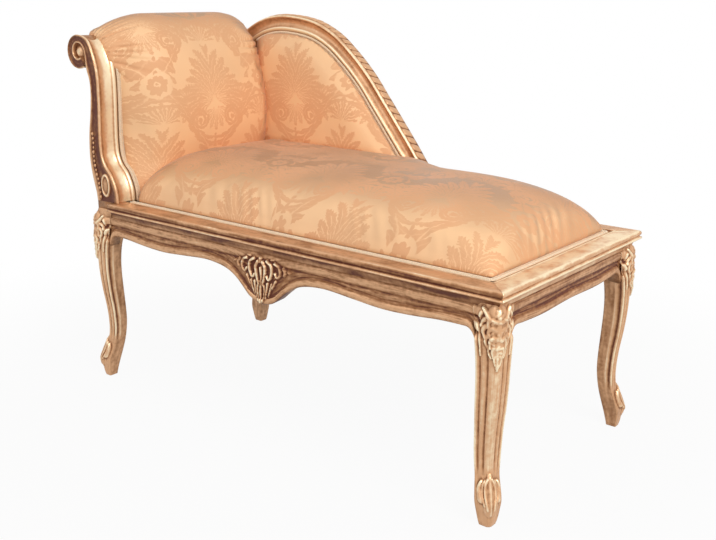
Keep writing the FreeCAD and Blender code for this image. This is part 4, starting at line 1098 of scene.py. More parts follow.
class RECAMIER_OT_rails(bpy.types.Operator):
    """Mould the four seat rails and carve the apron's cartouche"""
    bl_idname = "recamier.rails"
    bl_label = "Rails"

    def execute(self, context):
        low = -HEAD_FACE + LEG_BLOCK
        high = FOOT_FACE - LEG_BLOCK
        side = SIDE_FACE - LEG_BLOCK
        left = [(low - past, height) for past, height in TURN_DOWN[::-1]]
        right = [(high + past, height) for past, height in TURN_DOWN]
        apron = [(APRON_MIDDLE - away, height) for away, height in APRON_EDGE[:0:-1]]
        apron += [(APRON_MIDDLE + away, height) for away, height in APRON_EDGE]
        apron = left + [spot for spot in apron if low + 25 < spot[0] < high - 25] + right
        middle, half = (low + high) / 2, (high - low) / 2
        rear = left + [(middle + part * half, height) for part, height in PLAIN_EDGE] + right
        end = [(-side - past, height) for past, height in TURN_DOWN[::-1]]
        end += [(part * side, height) for part, height in PLAIN_EDGE]
        end += [(side + past, height) for past, height in TURN_DOWN]
        past = TURN_DOWN[-1][0]
        low, high, side = low - past, high + past, side + past
        rails = [
            rail_piece("moulded_rail_front", apron, low, high,
                       lambda run, out, up: (run, -SIDE_FACE - out, up), cartouche=True),
            rail_piece("moulded_rail_rear", rear, low, high,
                       lambda run, out, up: (run, SIDE_FACE + out, up)),
            # Painted shade dims the foot rail, which faces the key lamp.
            rail_piece("moulded_rail_foot", end, -side, side,
                       lambda run, out, up: (FOOT_FACE + out, run, up), darker=0.12),
            rail_piece("moulded_rail_head", end, -side, side,
                       lambda run, out, up: (-HEAD_FACE - out, run, up)),
        ]
        for rail in rails:
            dress(rail, gilt_material(), "gilt_wood", rail.name.replace("moulded_", ""))
        return {"FINISHED"}


# Show-wood moulding on top of the rails: distance inwards from the outer edge, height and tone;
# the tone holds painted highlights on the arrises and the bead and painted shade in the cove and
# the undercut
LIP_PROFILE = (
    (17.5, 378, 0.35), (15.5, 378, 0.5), (14.6, 380, 0.5), (13.4, 383.5, 0.42),
    (11.8, 387.5, 0.34), (9.5, 390.8, 0.28), (6.5, 392.8, 0.2), (3.6, 393.3, 0.4),
    (1.4, 394.2, 0.6), (0.2, 395.6, 0.9), (0, 396.6, 0.95), (0.5, 398, 0.7),
    (2.2, 399.2, 0.45), (3.8, 399.8, 0.12), (3.9, 400.6, 0.14), (2.4, 402, 0.35),
    (1.3, 404.2, 0.42), (1.3, 406.4, 0.4), (2.2, 408.8, 0.6), (4, 410.5, 0.85),
    (6.5, 411, 0.68), (14, 411, 0.64), (26, 411, 0.66), (36, 411, 0.64), (38.4, 411, 0.5),
    (39.2, 411.7, 0.8), (40.4, 411.9, 0.85), (41.4, 411.2, 0.6), (42, 409.9, 0.3),
    (46, 409.8, 0.4), (46.2, 404, 0.3), (74, 404, 0.3), (74, 395, 0.3), (17.5, 395, 0.3))


def lip_piece(name, ends, place, painted_lightness):
    """Length of moulding: ends give the run's limits at a distance inwards."""
    profile = np.array(LIP_PROFILE)
    steps = np.linspace(0, 1, 110)[:, None]
    inward = np.broadcast_to(profile[:, 0], (len(steps), len(profile)))
    starts, stops = ends(inward)
    run = starts + (stops - starts) * steps
    up = np.broadcast_to(profile[:, 1], inward.shape)
    tone = profile[:, 2] + painted_lightness + streaks(*inward.shape, 4, 11) * 0.2
    return tube(name, np.stack(place(run, inward, up), axis=2), tone)


class RECAMIER_OT_mouldings(bpy.types.Operator):
    """Run the show-wood moulding round the seat's open sides, with mitres"""
    bl_idname = "recamier.mouldings"
    bl_label = "Mouldings"

    def execute(self, context):
        head = LIP_LOW[0]

        def long_ends(inward):
            return np.full_like(inward, head), FOOT_EDGE - inward

        def foot_ends(inward):
            return -SIDE_EDGE + inward, SIDE_EDGE - inward

        # Last argument is painted light: the front and rear lips' tone darker, the foot lip's
        # lighter.
        lips = [
            lip_piece("lip_moulding_front", long_ends,
                      lambda run, inward, up: (run, -SIDE_EDGE + inward, up), -0.2),
            lip_piece("lip_moulding_rear", long_ends,
                      lambda run, inward, up: (run, SIDE_EDGE - inward, up), -0.1),
            lip_piece("lip_moulding_foot", foot_ends,
                      lambda run, inward, up: (FOOT_EDGE - inward, run, up), 0.22),
        ]
        for lip in lips:
            dress(lip, gilt_material(), "gilt_wood", lip.name.replace("lip_", ""))
        return {"FINISHED"}


# Scrolled posts

# Matched places up the inner and the outer edge of a post, then round the
# volute's rim and along the spiral inside it
POST_INNER = ((-412, 411), (-413, 432), (-419, 452), (-431, 473), (-448, 490), (-457, 510),
              (-459, 535), (-458, 570), (-455, 620), (-454, 670), (-457, 698), (-462, 717),
              (-471, 738), (-482, 753), (-497, 760))
POST_OUTER = ((-483, 411), (-485, 428), (-490, 446), (-494, 462), (-497, 480), (-499, 503),
              (-498, 530), (-494, 562), (-486, 598), (-480, 640), (-481, 668), (-489, 692),
              (-490, 712), (-492, 729), (-501, 742))
VOLUTE = (-515, 727)
VOLUTE_RIM = 35.5
VOLUTE_TURNS = (90, 110, 135, 160, 185, 210, 235, 260, 285, 303)
VOLUTE_INSIDE = (18.5, 18, 17, 16.2, 15.4, 14.8, 14.2, 13.8, 13.4, 13)
# How far across a post's outer side lies
POST_SIDE = 250
# Edge of a post from its outer side inwards: place across, depth and tone; the tone holds painted
# highlights on the beads, brightest on the inner bead, and painted shade in the hollows
POST_EDGE = ((250, 3.0, 0.3), (249, 1.0, 0.6), (247, 0, 0.85), (244.6, 0.2, 0.8),
             (242.6, 1.6, 0.35), (241.4, 3.2, 0.2), (238, 4.6, 0.4), (232, 6.0, 0.66),
             (225, 6.6, 0.92), (218, 6.0, 1.02), (212, 4.6, 0.9), (209, 3.2, 0.35),
             (207.6, 1.4, 0.9), (205.4, 0.1, 1.25), (202.6, -0.4, 1.3), (200.4, 0.8, 1.1),
             (199.4, 2.4, 0.4), (193, 2.6, 0.4), (186, 2.6, 0.4))
# Face of a post from its outer to its inner edge: part of the width, depth, tone; the dark tone
# of the face is glaze and painted shade
POST_FACE = ((0, 3.2, 0.3), (0.03, 1.0, 0.6), (0.08, 0, 0.75), (0.15, 0.5, 0.5),
             (0.22, 2.0, 0.1), (0.35, 2.6, 0.02), (0.5, 2.2, 0.12), (0.65, 2.6, 0.02),
             (0.8, 2.2, 0.05), (0.88, 1.0, 0.2), (0.94, 0.3, 0.4))


def on_volute(degrees, radius):
    """Place round a volute's middle."""
    turn = math.radians(degrees)
    return (VOLUTE[0] + radius * math.cos(turn), VOLUTE[1] + radius * math.sin(turn))


def post_lines(count):
    """Matched places on a post's inner and outer edge, in the plane of its face."""
    inner = list(POST_INNER) + [on_volute(turn, VOLUTE_RIM) for turn in VOLUTE_TURNS]
    outer = list(POST_OUTER) + [on_volute(turn, radius)
                                for turn, radius in zip(VOLUTE_TURNS, VOLUTE_INSIDE)]
    both = smooth_curve(np.hstack([inner, outer]), count)
    return both[:, :2], both[:, 2:]


def post_shaft(name, side):
    """Moulded S of a post, curling round its volute as one band."""
    inner, outer = post_lines(230)
    across = outer - inner
    across /= np.linalg.norm(across, axis=1)[:, None]
    columns = []
    for part, depth, tone in POST_FACE:
        flat = outer + (inner - outer) * part
        columns.append((flat, POST_SIDE - depth, tone))
    for place, depth, tone in POST_EDGE:
        columns.append((inner + across * depth, place, tone))
    back = POST_EDGE[-1][0]
    columns.append((inner + across * 12, back, 0.3))
    columns.append((outer, back, 0.3))
    grid = np.stack([np.stack([flat[:, 0], np.full(len(flat), side * place), flat[:, 1]], axis=1)
                     for flat, place, _ in columns], axis=1)
    tone = np.array([tone for _, _, tone in columns]) + streaks(*grid.shape[:2], 10, 17) * 0.12
    return tube(name, grid, tone)


# Drum behind the curled band, with the eye in its middle: radius, place across, tone; a painted
# highlight on the eye and painted shade on the sunk floor
DRUM_RINGS = ((0, 246.5, 0.85), (5, 246.2, 0.8), (9, 244.6, 0.6), (11.5, 242, 0.2),
              (13, 241.5, 0.1), (33, 241.5, 0.1), (34, 240, 0.3), (34, 186, 0.3), (0, 186, 0.3))
# Oval boss at a post's foot: middle, half sizes, and rings of reach, lift and tone; painted
# highlights on its rim and painted shade in the trench inside it
MEDALLION = (-449, 447)
MEDALLION_HALF = (14, 26)
MEDALLION_FLOOR = POST_SIDE - 2.4
MEDALLION_RINGS = ((0, 3.4, 0.5), (0.3, 3.2, 0.5), (0.55, 2.4, 0.35), (0.68, 1.0, 0.1),
                   (0.74, 1.4, 0.4), (0.82, 3.6, 0.9), (0.9, 3.6, 0.95), (1.0, 1.0, 0.4),
                   (1.06, -2.0, 0.1))


def turned_disc(name, middle, half, rings, side, spokes):
    """Disc on a post's side, from rings of reach, place across and tone."""
    turns = np.linspace(0, 2 * math.pi, spokes, endpoint=False)
    grid = np.stack([np.stack([middle[0] + half[0] * reach * np.cos(turns),
                               np.full(spokes, side * place),
                               middle[1] + half[1] * reach * np.sin(turns)], axis=1)
                     for reach, place, _ in rings], axis=0)
    tone = np.broadcast_to(np.array([tone for _, _, tone in rings])[:, None], grid.shape[:2])
    faces = grid_faces(len(rings), spokes, close_columns=True)
    return new_piece(name, grid.reshape(-1, 3), faces, tone.ravel())


def volute_floor(name, side):
    """Drum behind the curled band, with the eye's dome in its middle."""
    return turned_disc(name, VOLUTE, (1, 1), DRUM_RINGS, side, 48)


def medallion(name, side):
    """Oval boss with a raised rim at a post's foot."""
    rings = [(reach, MEDALLION_FLOOR + lift, tone) for reach, lift, tone in MEDALLION_RINGS]
    return turned_disc(name, MEDALLION, MEDALLION_HALF, rings, side, 40)


# Line of the pearls on a post's face, from the top down
PEARL_TRAIL = ((-483, 556), (-482, 540), (-483, 520), (-483, 500), (-480, 482), (-476, 466),
               (-471, 450), (-469, 434), (-468, 420))


def pearl_trail(name, side, finish):
    """Pearls that run down a post's face to its medallion."""
    line = smooth_curve(PEARL_TRAIL, 60)
    depth = np.full(60, side * (POST_SIDE - 2.6))
    points = np.stack([line[:, 0], depth, line[:, 1]], axis=1)
    pearl = small_dome(name + "_seed", 4.4, 3.0, 4.2, low_tone=0.0, high_tone=0.62)
    trail = along_path(name, points, (0, side, 0), pearl, finish,
                       sizes().pearl_step, unevenness=0.18)
    remove(pearl)
    return trail


def post_block(name, side):
    """Square foot of a post on the leg, behind the seat's moulding."""
    low, high = -HEAD_FACE, -HEAD_FACE + LEG_BLOCK
    outside, inside = POST_SIDE - 3, SIDE_FACE - LEG_BLOCK
    sections = []
    for height in (RAIL_TOP - 1, RAIL_TOP + 4, FRAME_TOP - 5, FRAME_TOP + 6):
        sections.append([(low, side * outside, height), (low, side * inside, height),
                         (high, side * inside, height), (high, side * outside, height)])
    return tube(name, np.array(sections, float), 0.3)


class RECAMIER_OT_posts(bpy.types.Operator):
    """Build the two scrolled posts with their volutes, pearls and medallions"""
    bl_idname = "recamier.posts"
    bl_label = "Posts"

    def execute(self, context):
        finish = gilt_material()
        for node, side in (("scroll_post_front", -1), ("scroll_post_rear", 1)):
            name = "carved_" + node
            parts = [post_shaft(name, side), volute_floor(name + "_drum", side),
                     medallion(name + "_medallion", side), post_block(name + "_block", side),
                     pearl_trail(name + "_pearls", side, finish)]
            dress(join(name, parts), finish, "gilt_wood", node)
        return {"FINISHED"}


# Swooping back rail

SWOOP = ((140, 447), (96, 457), (60, 479), (22, 527), (-15, 573), (-55, 622), (-98, 674),
         (-147, 721), (-203, 763), (-270, 790), (-361, 800), (-432, 788), (-503, 754))
BACK_REAR = 250
# Section of the swooping rail: place across, distance in from the outer edge, tone; the tone
# holds a painted highlight on the ridge and painted shade in the hollows
SWOOP_SECTION = ((250, 0.5, 0.2), (249, 0, 0.3), (246, 0.2, 0.15), (226, 0.2, 0.15),
                 (223.6, 0, 0.5), (221.6, 0.2, 0.75), (219.4, 1.2, 0.95), (218.2, 2.8, 0.85),
                 (218.4, 4.6, 0.7), (219.8, 6.2, 0.35), (221.8, 8.2, 0.35), (223.8, 11.5, 0.5),
                 (224.9, 16, 0.6), (224.4, 20.5, 0.62), (222.4, 24, 0.5), (220.2, 26, 0.5),
                 (217.8, 27.6, 1.0), (216.8, 29.4, 1.25), (216.9, 31.6, 1.25), (217.8, 33.6, 1.1),
                 (219.6, 35.2, 0.6), (220, 36.4, 0.5), (220, 60, 0.4), (250, 60, 0.3),
                 (250, 30, 0.3))


def swoop_line(count, inset=0.0):
    """Places on the swooping edge, or inside it by a distance."""
    line = smooth_curve(SWOOP, count)
    return line - right_of(line) * inset


def swoop_rail(name):
    """Moulding swept along the falling back, down to the seat frame."""
    line = smooth_curve(SWOOP, 200)
    inwards = -right_of(line)
    columns = [np.stack([line[:, 0] + inwards[:, 0] * inset, np.full(len(line), float(place)),
                         line[:, 1] + inwards[:, 1] * inset], axis=1)
               for place, inset, _ in SWOOP_SECTION]
    grid = np.stack(columns, axis=1)
    keep = grid[:, :, 2].max(axis=1) > FRAME_TOP
    grid = grid[keep]
    grid[:, :, 2] = np.maximum(grid[:, :, 2], FRAME_TOP - 1)
    tone = np.array([tone for _, _, tone in SWOOP_SECTION])
    return tube(name, grid, tone + streaks(*grid.shape[:2], 8, 23) * 0.14)


def ribbon(name, finish):
    """Carved ribbon turns on the outer face of the swooping rail."""
    line = smooth_curve(SWOOP, 200)[:178]
    outs = right_of(line)
    points = np.stack([line[:, 0], np.full(len(line), 236.5), line[:, 1]], axis=1)
    points[:, 0] -= outs[:, 0] * 0.4
    points[:, 2] -= outs[:, 1] * 0.4
    outs = np.stack([outs[:, 0], np.zeros(len(outs)), outs[:, 1]], axis=1)
    turn = small_dome(name + "_seed", 9.3, 12, 3.0, rings=5, spokes=20, low_tone=0.3,
                      high_tone=0.66, square=0.5, slant=5)
    piece = along_path(name, points, outs, turn, finish, sizes().ribbon_step)
    remove(turn)
    return piece


class RECAMIER_OT_swoop(bpy.types.Operator):
    """Sweep the moulded rail of the falling back and carve its ribbon"""
    bl_idname = "recamier.swoop"
    bl_label = "Swooping rail"

    def execute(self, context):
        finish = gilt_material()
        rail = join("carved_swoop_rail", [swoop_rail("carved_swoop_rail"),
                                          ribbon("swoop_ribbon", finish)])
        dress(rail, finish, "gilt_wood", "back_swoop_rail")
        return {"FINISHED"}


# Stuffed pieces

HEAD_FRONT = ((-394, 414), (-390, 452), (-386, 495), (-375, 545), (-372, 592), (-378, 642),
              (-392, 695), (-412, 745), (-440, 784), (-476, 804), (-513, 802), (-537, 788),
              (-546, 768), (-547, 753))
HEAD_HOLLOW = ((-541, 748), (-530, 757), (-515, 761), (-500, 757), (-476, 748), (-459.5, 719),
               (-459.5, 600), (-459.5, 500), (-459.5, 414))
HEAD_HALF = 190.5
ROLL_OVERHANG = 22
# Head end, lower edge and flat rear face of the back pad
BACK_LEFT = -437
BACK_LOW_EDGE = 426
BACK_FLAT = 215.6
# Cover's simulation: air pressure, stiffness and frames
AIR_PRESSURE = 4.0
CLOTH_STIFFNESS = 12
CLOTH_FRAMES = 20
# How far from a tacked edge a cover is free to swell
TACKED_LINE = 3
TACKED_REACH = 24


def head_outlines(count):
    """Front of the pad in its middle, and where it meets the braid at an end."""
    full = smooth_curve(HEAD_FRONT, count)
    rim = list(POST_INNER) + [on_volute(turn, VOLUTE_RIM) for turn in (90, 105, 120, 135, 148)]
    end = smooth_curve(rim, count)
    return full, end - right_of(end) * 3


def head_form(name):
    """Rolled head pad: the profile drawn in towards both ends, and swelling
    over the posts' crowns at the top."""
    full, end = head_outlines(110)
    top = rise(full[:, 1], 748, 782)
    half = HEAD_HALF + ROLL_OVERHANG * top
    hollow = np.array(HEAD_HOLLOW, float)
    sections = []
    for place in np.sin(np.linspace(-math.pi / 2, math.pi / 2, 56)):
        left = half * (1 - abs(place))
        if place < 0:
            blend = dome(left, 84 + 30 * top, 1.75)
            outer = end
        else:
            blend = dome(left, 26 + 75 * top, 2.0)
            outer = full + (end - full) * (0.35 + 0.5 * top[:, None])
        outline = outer + (full - outer) * blend[:, None]
        front = np.stack([outline[:, 0], half * place, outline[:, 1]], axis=1)
        back = np.stack([hollow[:, 0], np.full(len(hollow), HEAD_HALF * place),
                         hollow[:, 1]], axis=1)
        sections.append(np.vstack([front, back]))
    return tube(name, np.array(sections), 0.0)


def seat_height(across_x, along_y):
    """Height of the seat's crown over the frame's rebate."""
    from_front = along_y + SEAT_HIGH[1]
    from_rear = SEAT_HIGH[1] - along_y
    from_foot = SEAT_HIGH[0] - across_x
    from_head = across_x - SEAT_LOW[0]
    rear_reach = 40 + 110 * rise(across_x, 60, 190)
    crown = dome(from_front, 190, 2.1) * dome(from_foot, 265, 2.5)
    crown = crown * (0.7 + 0.3 * dome(from_head, 70, 2.2)) * dome(from_rear, rear_reach, 2.4)
    return SEAT_LOW[2] + 3 + crown * in_mm(sizes().seat_crown)


def seat_form(name):
    """Seat pad: crowned top, tight edges and a flat underside."""
    wave = np.sin(np.linspace(-math.pi / 2, math.pi / 2, 90))
    low, high = SEAT_LOW, SEAT_HIGH
    across = (low[0] + high[0]) / 2 + (high[0] - low[0]) / 2 * wave
    along = high[1] * np.sin(np.linspace(-math.pi / 2, math.pi / 2, 60))
    over, deep = np.meshgrid(across, along, indexing="ij")
    top = np.stack([over, deep, seat_height(over, deep)], axis=2)
    bottom = np.stack([over, deep, np.full_like(over, SEAT_LOW[2] + 0.6)], axis=2)
    return pillow(name, top, bottom)


def pillow(name, front, back):
    """Closed piece from two grids of the same size and the wall between them."""
    count = front.shape[0] * front.shape[1]
    faces = grid_faces(*front.shape[:2])
    rim = rim_of(*front.shape[:2])
    walls = [(start, end, end + count, start + count)
             for start, end in zip(rim, rim[1:] + rim[:1])]
    places = np.vstack([front.reshape(-1, 3), back.reshape(-1, 3)])
    return new_piece(name, places, faces.tolist() + (faces[:, ::-1] + count).tolist() + walls)


def rim_of(rows, columns):
    """Indices round a grid's border."""
    top = list(range(columns))
    right = [row * columns + columns - 1 for row in range(1, rows)]
    bottom = [(rows - 1) * columns + step for step in range(columns - 2, -1, -1)]
    left = [row * columns for row in range(rows - 2, 0, -1)]
    return top + right + bottom + left


def back_form(name):
    """Back pad: a pillow between the swooping rail and the seat."""
    edge = swoop_line(300, 38.5)
    edge = edge[(edge[:, 1] > BACK_LOW_EDGE + 6) & (edge[:, 0] > BACK_LEFT)]
    edge = even(edge[::-1], 80)
    rows = np.sin(np.linspace(0, math.pi / 2, 46))
    parts = np.linspace(0, 1, 80)
    bottom_x = BACK_LEFT + (edge[-1, 0] - 4 - BACK_LEFT) * parts
    over = bottom_x[:, None] + (edge[:, :1] - bottom_x[:, None]) * rows
    up = BACK_LOW_EDGE + (edge[:, 1:] - BACK_LOW_EDGE) * rows
    from_edge = np.min(np.hypot(over[:, :, None] - edge[None, None, ::2, 0],
                                up[:, :, None] - edge[None, None, ::2, 1]), axis=2)
    from_left = over - BACK_LEFT
    swell = dome(from_edge, 70, 2.0) * dome(from_left + 6, 60, 2.0) * rise(up, 440, 520)
    front = np.stack([over, BACK_FLAT - 3 - swell * in_mm(sizes().back_swell), up], axis=2)
    back = np.stack([over, np.full_like(over, BACK_FLAT), up], axis=2)
    return pillow(name, front, back)


def fit_box(piece, low, high):
    """Scale a stuffed piece so that it fills a box again, in millimetres."""
    places = coordinates(piece.data) / MM
    least, most = places.min(axis=0), places.max(axis=0)
    low, high = np.array(low, float), np.array(high, float)
    set_places(piece.data, low + (places - least) * (high - low) / (most - least))


def puff(piece, cap, freedom):
    """Let air pressure stuff a cover: remesh, simulate, then cap each move.
    Freedom gives a place's share of its move, from 0 where tacks hold it."""
    bpy.context.view_layer.objects.active = piece
    remesh = piece.modifiers.new("Remesh", "REMESH")
    remesh.mode = "VOXEL"
    remesh.voxel_size = sizes().voxel
    bpy.ops.object.modifier_apply(modifier=remesh.name)
    rest = coordinates(piece.data)
    move = swelling(piece) - rest
    far = np.linalg.norm(move, axis=1)
    limit = cap * MM
    move *= (limit * np.tanh(far / limit) / np.maximum(far, 1e-9))[:, None]
    move *= freedom(rest / MM)[:, None]
    piece.data.vertices.foreach_set("co", (rest + move).astype(np.float32).ravel())
    soften = piece.modifiers.new("Smooth", "SMOOTH")
    soften.factor = 0.5
    soften.iterations = 4
    finer = piece.modifiers.new("Finer", "SUBSURF")
    finer.levels = 1
    finer.render_levels = 1
    for modifier in (soften, finer):
        bpy.ops.object.modifier_apply(modifier=modifier.name)
    piece.data.shade_smooth()
    return piece


def swelling(piece):
    """Places of a cover after a short simulation under air pressure."""
    scene = bpy.context.scene
    cloth = piece.modifiers.new("Cloth", "CLOTH")
    cloth.settings.use_pressure = True
    cloth.settings.uniform_pressure_force = AIR_PRESSURE
    cloth.settings.tension_stiffness = CLOTH_STIFFNESS
    cloth.settings.compression_stiffness = CLOTH_STIFFNESS
    cloth.settings.effector_weights.gravity = 0
    cloth.collision_settings.use_collision = False
    cloth.point_cache.frame_start = 1
    cloth.point_cache.frame_end = CLOTH_FRAMES
    for step in range(1, CLOTH_FRAMES + 1):
        scene.frame_set(step)
    seen = piece.evaluated_get(bpy.context.evaluated_depsgraph_get())
    moved = coordinates(seen.data)
    piece.modifiers.remove(cloth)
    scene.frame_set(1)
    return moved


def head_freedom(places):
    """Held at both ends, where the cover is tacked to the posts."""
    end = HEAD_HALF + ROLL_OVERHANG * rise(places[:, 2], 748, 782)
    return rise(end - np.abs(places[:, 1]), TACKED_LINE, TACKED_REACH)


def seat_freedom(places):
    """Held all round its lower edge."""
    return rise(places[:, 2] - SEAT_LOW[2], TACKED_LINE, TACKED_REACH)


def back_freedom(places):
    """Held all round its rear edge."""
    return rise(BACK_FLAT - places[:, 1], TACKED_LINE, TACKED_REACH)


def coordinates(mesh):
    """Places of a mesh's vertices, in metres."""
    places = np.zeros(len(mesh.vertices) * 3, np.float32)
    mesh.vertices.foreach_get("co", places)
    return places.reshape(-1, 3).astype(float)


def normals(mesh):
    out = np.zeros(len(mesh.vertices) * 3, np.float32)
    mesh.vertices.foreach_get("normal", out)
    return out.reshape(-1, 3).astype(float)


def set_places(mesh, places):
    """Move a mesh's vertices to places in millimetres."""
    mesh.vertices.foreach_set("co", (places * MM).astype(np.float32).ravel())
    mesh.update()


def lay_cloth(piece, chart):
    """Write the cloth map, in metres, from each vertex's place."""
    mesh = piece.data
    spread = chart(coordinates(mesh) / MM) * MM
    loops = np.zeros(len(mesh.loops), int)
    mesh.loops.foreach_get("vertex_index", loops)
    layer = mesh.uv_layers.new(name="cloth")
    layer.data.foreach_set("uv", spread[loops].astype(np.float32).ravel())


def head_chart(places):
    """Across the pad, and along its profile from the seat up over the roll."""
    profile = smooth_curve(HEAD_FRONT, 160)
    run = np.concatenate([[0], np.cumsum(np.linalg.norm(np.diff(profile, axis=0), axis=1))])
    nearest = np.zeros(len(places), int)
    for start in range(0, len(places), 20000):
        chunk = places[start:start + 20000]
        gaps = np.hypot(chunk[:, None, 0] - profile[:, 0], chunk[:, None, 2] - profile[:, 1])
        nearest[start:start + 20000] = gaps.argmin(axis=1)
    return np.stack([places[:, 1] - 4, run[nearest] - 250], axis=1)


def seat_chart(places):
    """Along and across the seat, let out a little down its sides."""
    drop = SEAT_HIGH[2] - places[:, 2]
    return np.stack([places[:, 0] + 250 + 0.2 * drop * np.sign(places[:, 0]),
                     places[:, 1] + 0.25 * drop * np.sign(places[:, 1]) + 60], axis=1)


def back_chart(places):
    """Straight on to the back."""
    return np.stack([places[:, 0] + 286, places[:, 2] - 662], axis=1)


def pleat_head(piece):
    """Gathers where the cover is drawn round the roll's ends."""
    mesh = piece.data
    places, out = coordinates(mesh) / MM, normals(mesh)
    turn = np.arctan2(places[:, 2] - VOLUTE[1], places[:, 0] - VOLUTE[0])
    top = rise(places[:, 2], 740, 775)
    from_end = HEAD_HALF + ROLL_OVERHANG * top - np.abs(places[:, 1])
    gather = np.exp(-((from_end - 8) / 42) ** 2) * rise(places[:, 2], 650, 705)
    fold = np.exp(-(np.sin(turn * 16 + 0.9 * np.sin(turn * 7)) / 0.42) ** 2)
    wave = (0.3 - fold) * (0.7 + 0.3 * np.sin(turn * 11 + 1))
    set_places(mesh, places + out * (wave * gather * 5.5)[:, None])


def pucker_seat(piece):
    """Short pulls along the seat's tacked edge."""
    mesh = piece.data
    places, out = coordinates(mesh) / MM, normals(mesh)
    edge = np.minimum(places[:, 1] - SEAT_LOW[1], SEAT_HIGH[0] - places[:, 0])
    near = np.exp(-((edge - 16) / 20) ** 2) * (places[:, 2] > SEAT_LOW[2] + 4)
    along = places[:, 0] + places[:, 1]
    wave = np.sin(along / 5.2 + 2.0 * np.sin(along / 37)) * (0.5 + 0.5 * np.sin(along / 61))
    set_places(mesh, places + out * (wave * near * 0.7)[:, None])


class RECAMIER_OT_head(bpy.types.Operator):
    """Stuff and cover the rolled head"""
    bl_idname = "recamier.head"
    bl_label = "Head pad"

    def execute(self, context):
        pad = puff(head_form("head_upholstery"), 6, head_freedom)
        pleat_head(pad)
        lay_cloth(pad, head_chart)
        dress(pad, damask_material(), "damask", "head_pad")
        return {"FINISHED"}


class RECAMIER_OT_seat(bpy.types.Operator):
    """Stuff and cover the crowned seat"""
    bl_idname = "recamier.seat"
    bl_label = "Seat pad"

    def execute(self, context):
        pad = puff(seat_form("seat_upholstery"), 6, seat_freedom)
        over = in_mm(sizes().braid_cover)
        fit_box(pad, (SEAT_LOW[0] - 10, SEAT_LOW[1] - over, SEAT_LOW[2]),
                (SEAT_HIGH[0] + over, SEAT_HIGH[1] + over, SEAT_LOW[2] + 106))
        pucker_seat(pad)
        lay_cloth(pad, seat_chart)
        dress(pad, damask_material(), "damask", "seat_pad")
        return {"FINISHED"}


class RECAMIER_OT_back(bpy.types.Operator):
    """Stuff and cover the falling back"""
    bl_idname = "recamier.back"
    bl_label = "Back pad"

    def execute(self, context):
        pad = puff(back_form("back_upholstery"), 4, back_freedom)
        lay_cloth(pad, back_chart)
        dress(pad, damask_material(), "damask", "back_pad")
        return {"FINISHED"}


# Braid

def flat_braid(name, line, outs, sides, width, lift=1.2):
    """Flat band with soft edges under the braid's knots."""
    section = ((-0.5, 0), (-0.47, lift * 0.7), (-0.35, lift), (0, lift * 0.7), (0.35, lift),
               (0.47, lift * 0.7), (0.5, 0))
    grid = np.stack([line + sides * across * width + outs * up for across, up in section], axis=1)
    return tube(name, grid, 0.5)


def braid(name, line, outs, sides, finish):
    """Two rows of slanting knots on a flat band."""
    line, outs, sides = (np.asarray(part, float) for part in (line, outs, sides))
    outs = np.broadcast_to(outs, line.shape)
    sides = np.broadcast_to(sides, line.shape)
    width = in_mm(sizes().braid_width)
    knot = small_dome(name + "_seed", 2.9, 1.5, 1.9, rings=3, spokes=7)
    parts = [flat_braid(name, line, outs, sides, width)]
    for row, tilt in ((-0.24, 0.75), (0.24, -0.75)):
        parts.append(along_path(name + "_row", line + sides * row * width + outs * 0.8, outs,
                                knot, finish, sizes().braid_step, tilt=tilt))
    remove(knot)
    return join(name, parts)


def head_braid(node, side, half, finish):
    """Braid down a post's inner edge, from the volute to the seat."""
    edge = smooth_curve(list(POST_INNER) + [on_volute(90, VOLUTE_RIM),
                                            on_volute(112, VOLUTE_RIM)], 150)
    out = right_of(edge)
    line = edge + out * 0.3
    middle = side * (185 + half)
    line = np.stack([line[:, 0], np.full(len(line), middle), line[:, 1]], axis=1)
    outs = np.stack([out[:, 0], np.zeros(len(out)), out[:, 1]], axis=1)
    strip = braid("braid_" + node, line, outs, (0, side, 0), finish)
    dress(strip, finish, "braid", node)


def back_braid(half, finish):
    """Braid along the inner edge of the swooping rail."""
    edge = swoop_line(260, 36.5 + half)
    edge = edge[(edge[:, 1] > FRAME_TOP + 20) & (edge[:, 0] > -445)]
    inward = -right_of(edge)
    line = np.stack([edge[:, 0], np.full(len(edge), 218.6), edge[:, 1]], axis=1)
    sides = np.stack([inward[:, 0], np.zeros(len(edge)), inward[:, 1]], axis=1)
    strip = braid("braid_back", line, (0, -1, 0), sides, finish)
    dress(strip, finish, "braid", "back_gimp")


def seat_braid(half, finish):
    """Braid round the seat's three open sides, inside the moulding."""
    foot = FOOT_EDGE - 46 - half
    side = SIDE_EDGE - 46 - half
    path = [(-409, -side), (foot - 4, -side), (foot, -side + 4), (foot, side - 4),
            (foot - 4, side), (144, side)]
    edge = even(path, 420)
    outward = right_of(edge)
    level = np.full(len(edge), FRAME_TOP - 1.4)
    line = np.stack([edge[:, 0], edge[:, 1], level], axis=1)
    sides = np.stack([outward[:, 0], outward[:, 1], np.zeros(len(edge))], axis=1)
    strip = braid("braid_seat", line, (0, 0, 1), sides, finish)
    dress(strip, finish, "braid", "seat_gimp")


class RECAMIER_OT_braids(bpy.types.Operator):
    """Lay the cream braid over every tacked edge"""
    bl_idname = "recamier.braids"
    bl_label = "Braids"

    def execute(self, context):
        finish = woven_material("Cotton braid", context.scene.recamier_colours.braid, 1.1, 0.4,
                                True)
        half = in_mm(sizes().braid_width) / 2
        head_braid("head_gimp_front", -1, half, finish)
        head_braid("head_gimp_rear", 1, half, finish)
        back_braid(half, finish)
        seat_braid(half, finish)
        return {"FINISHED"}


# Outside covers and the cloth under the seat

# Lower and upper end of the outside head cover, half its width, and its steps
COVER_LOW = (-481, 397)
COVER_HIGH = (-488.5, 695)
COVER_HALF = 185.5
COVER_STEPS = 60
# Head end of the outside back cover
BACK_COVER_LEFT = -444
# Corners left out of the dust cloth round the legs
CLOTH_CORNER = 31


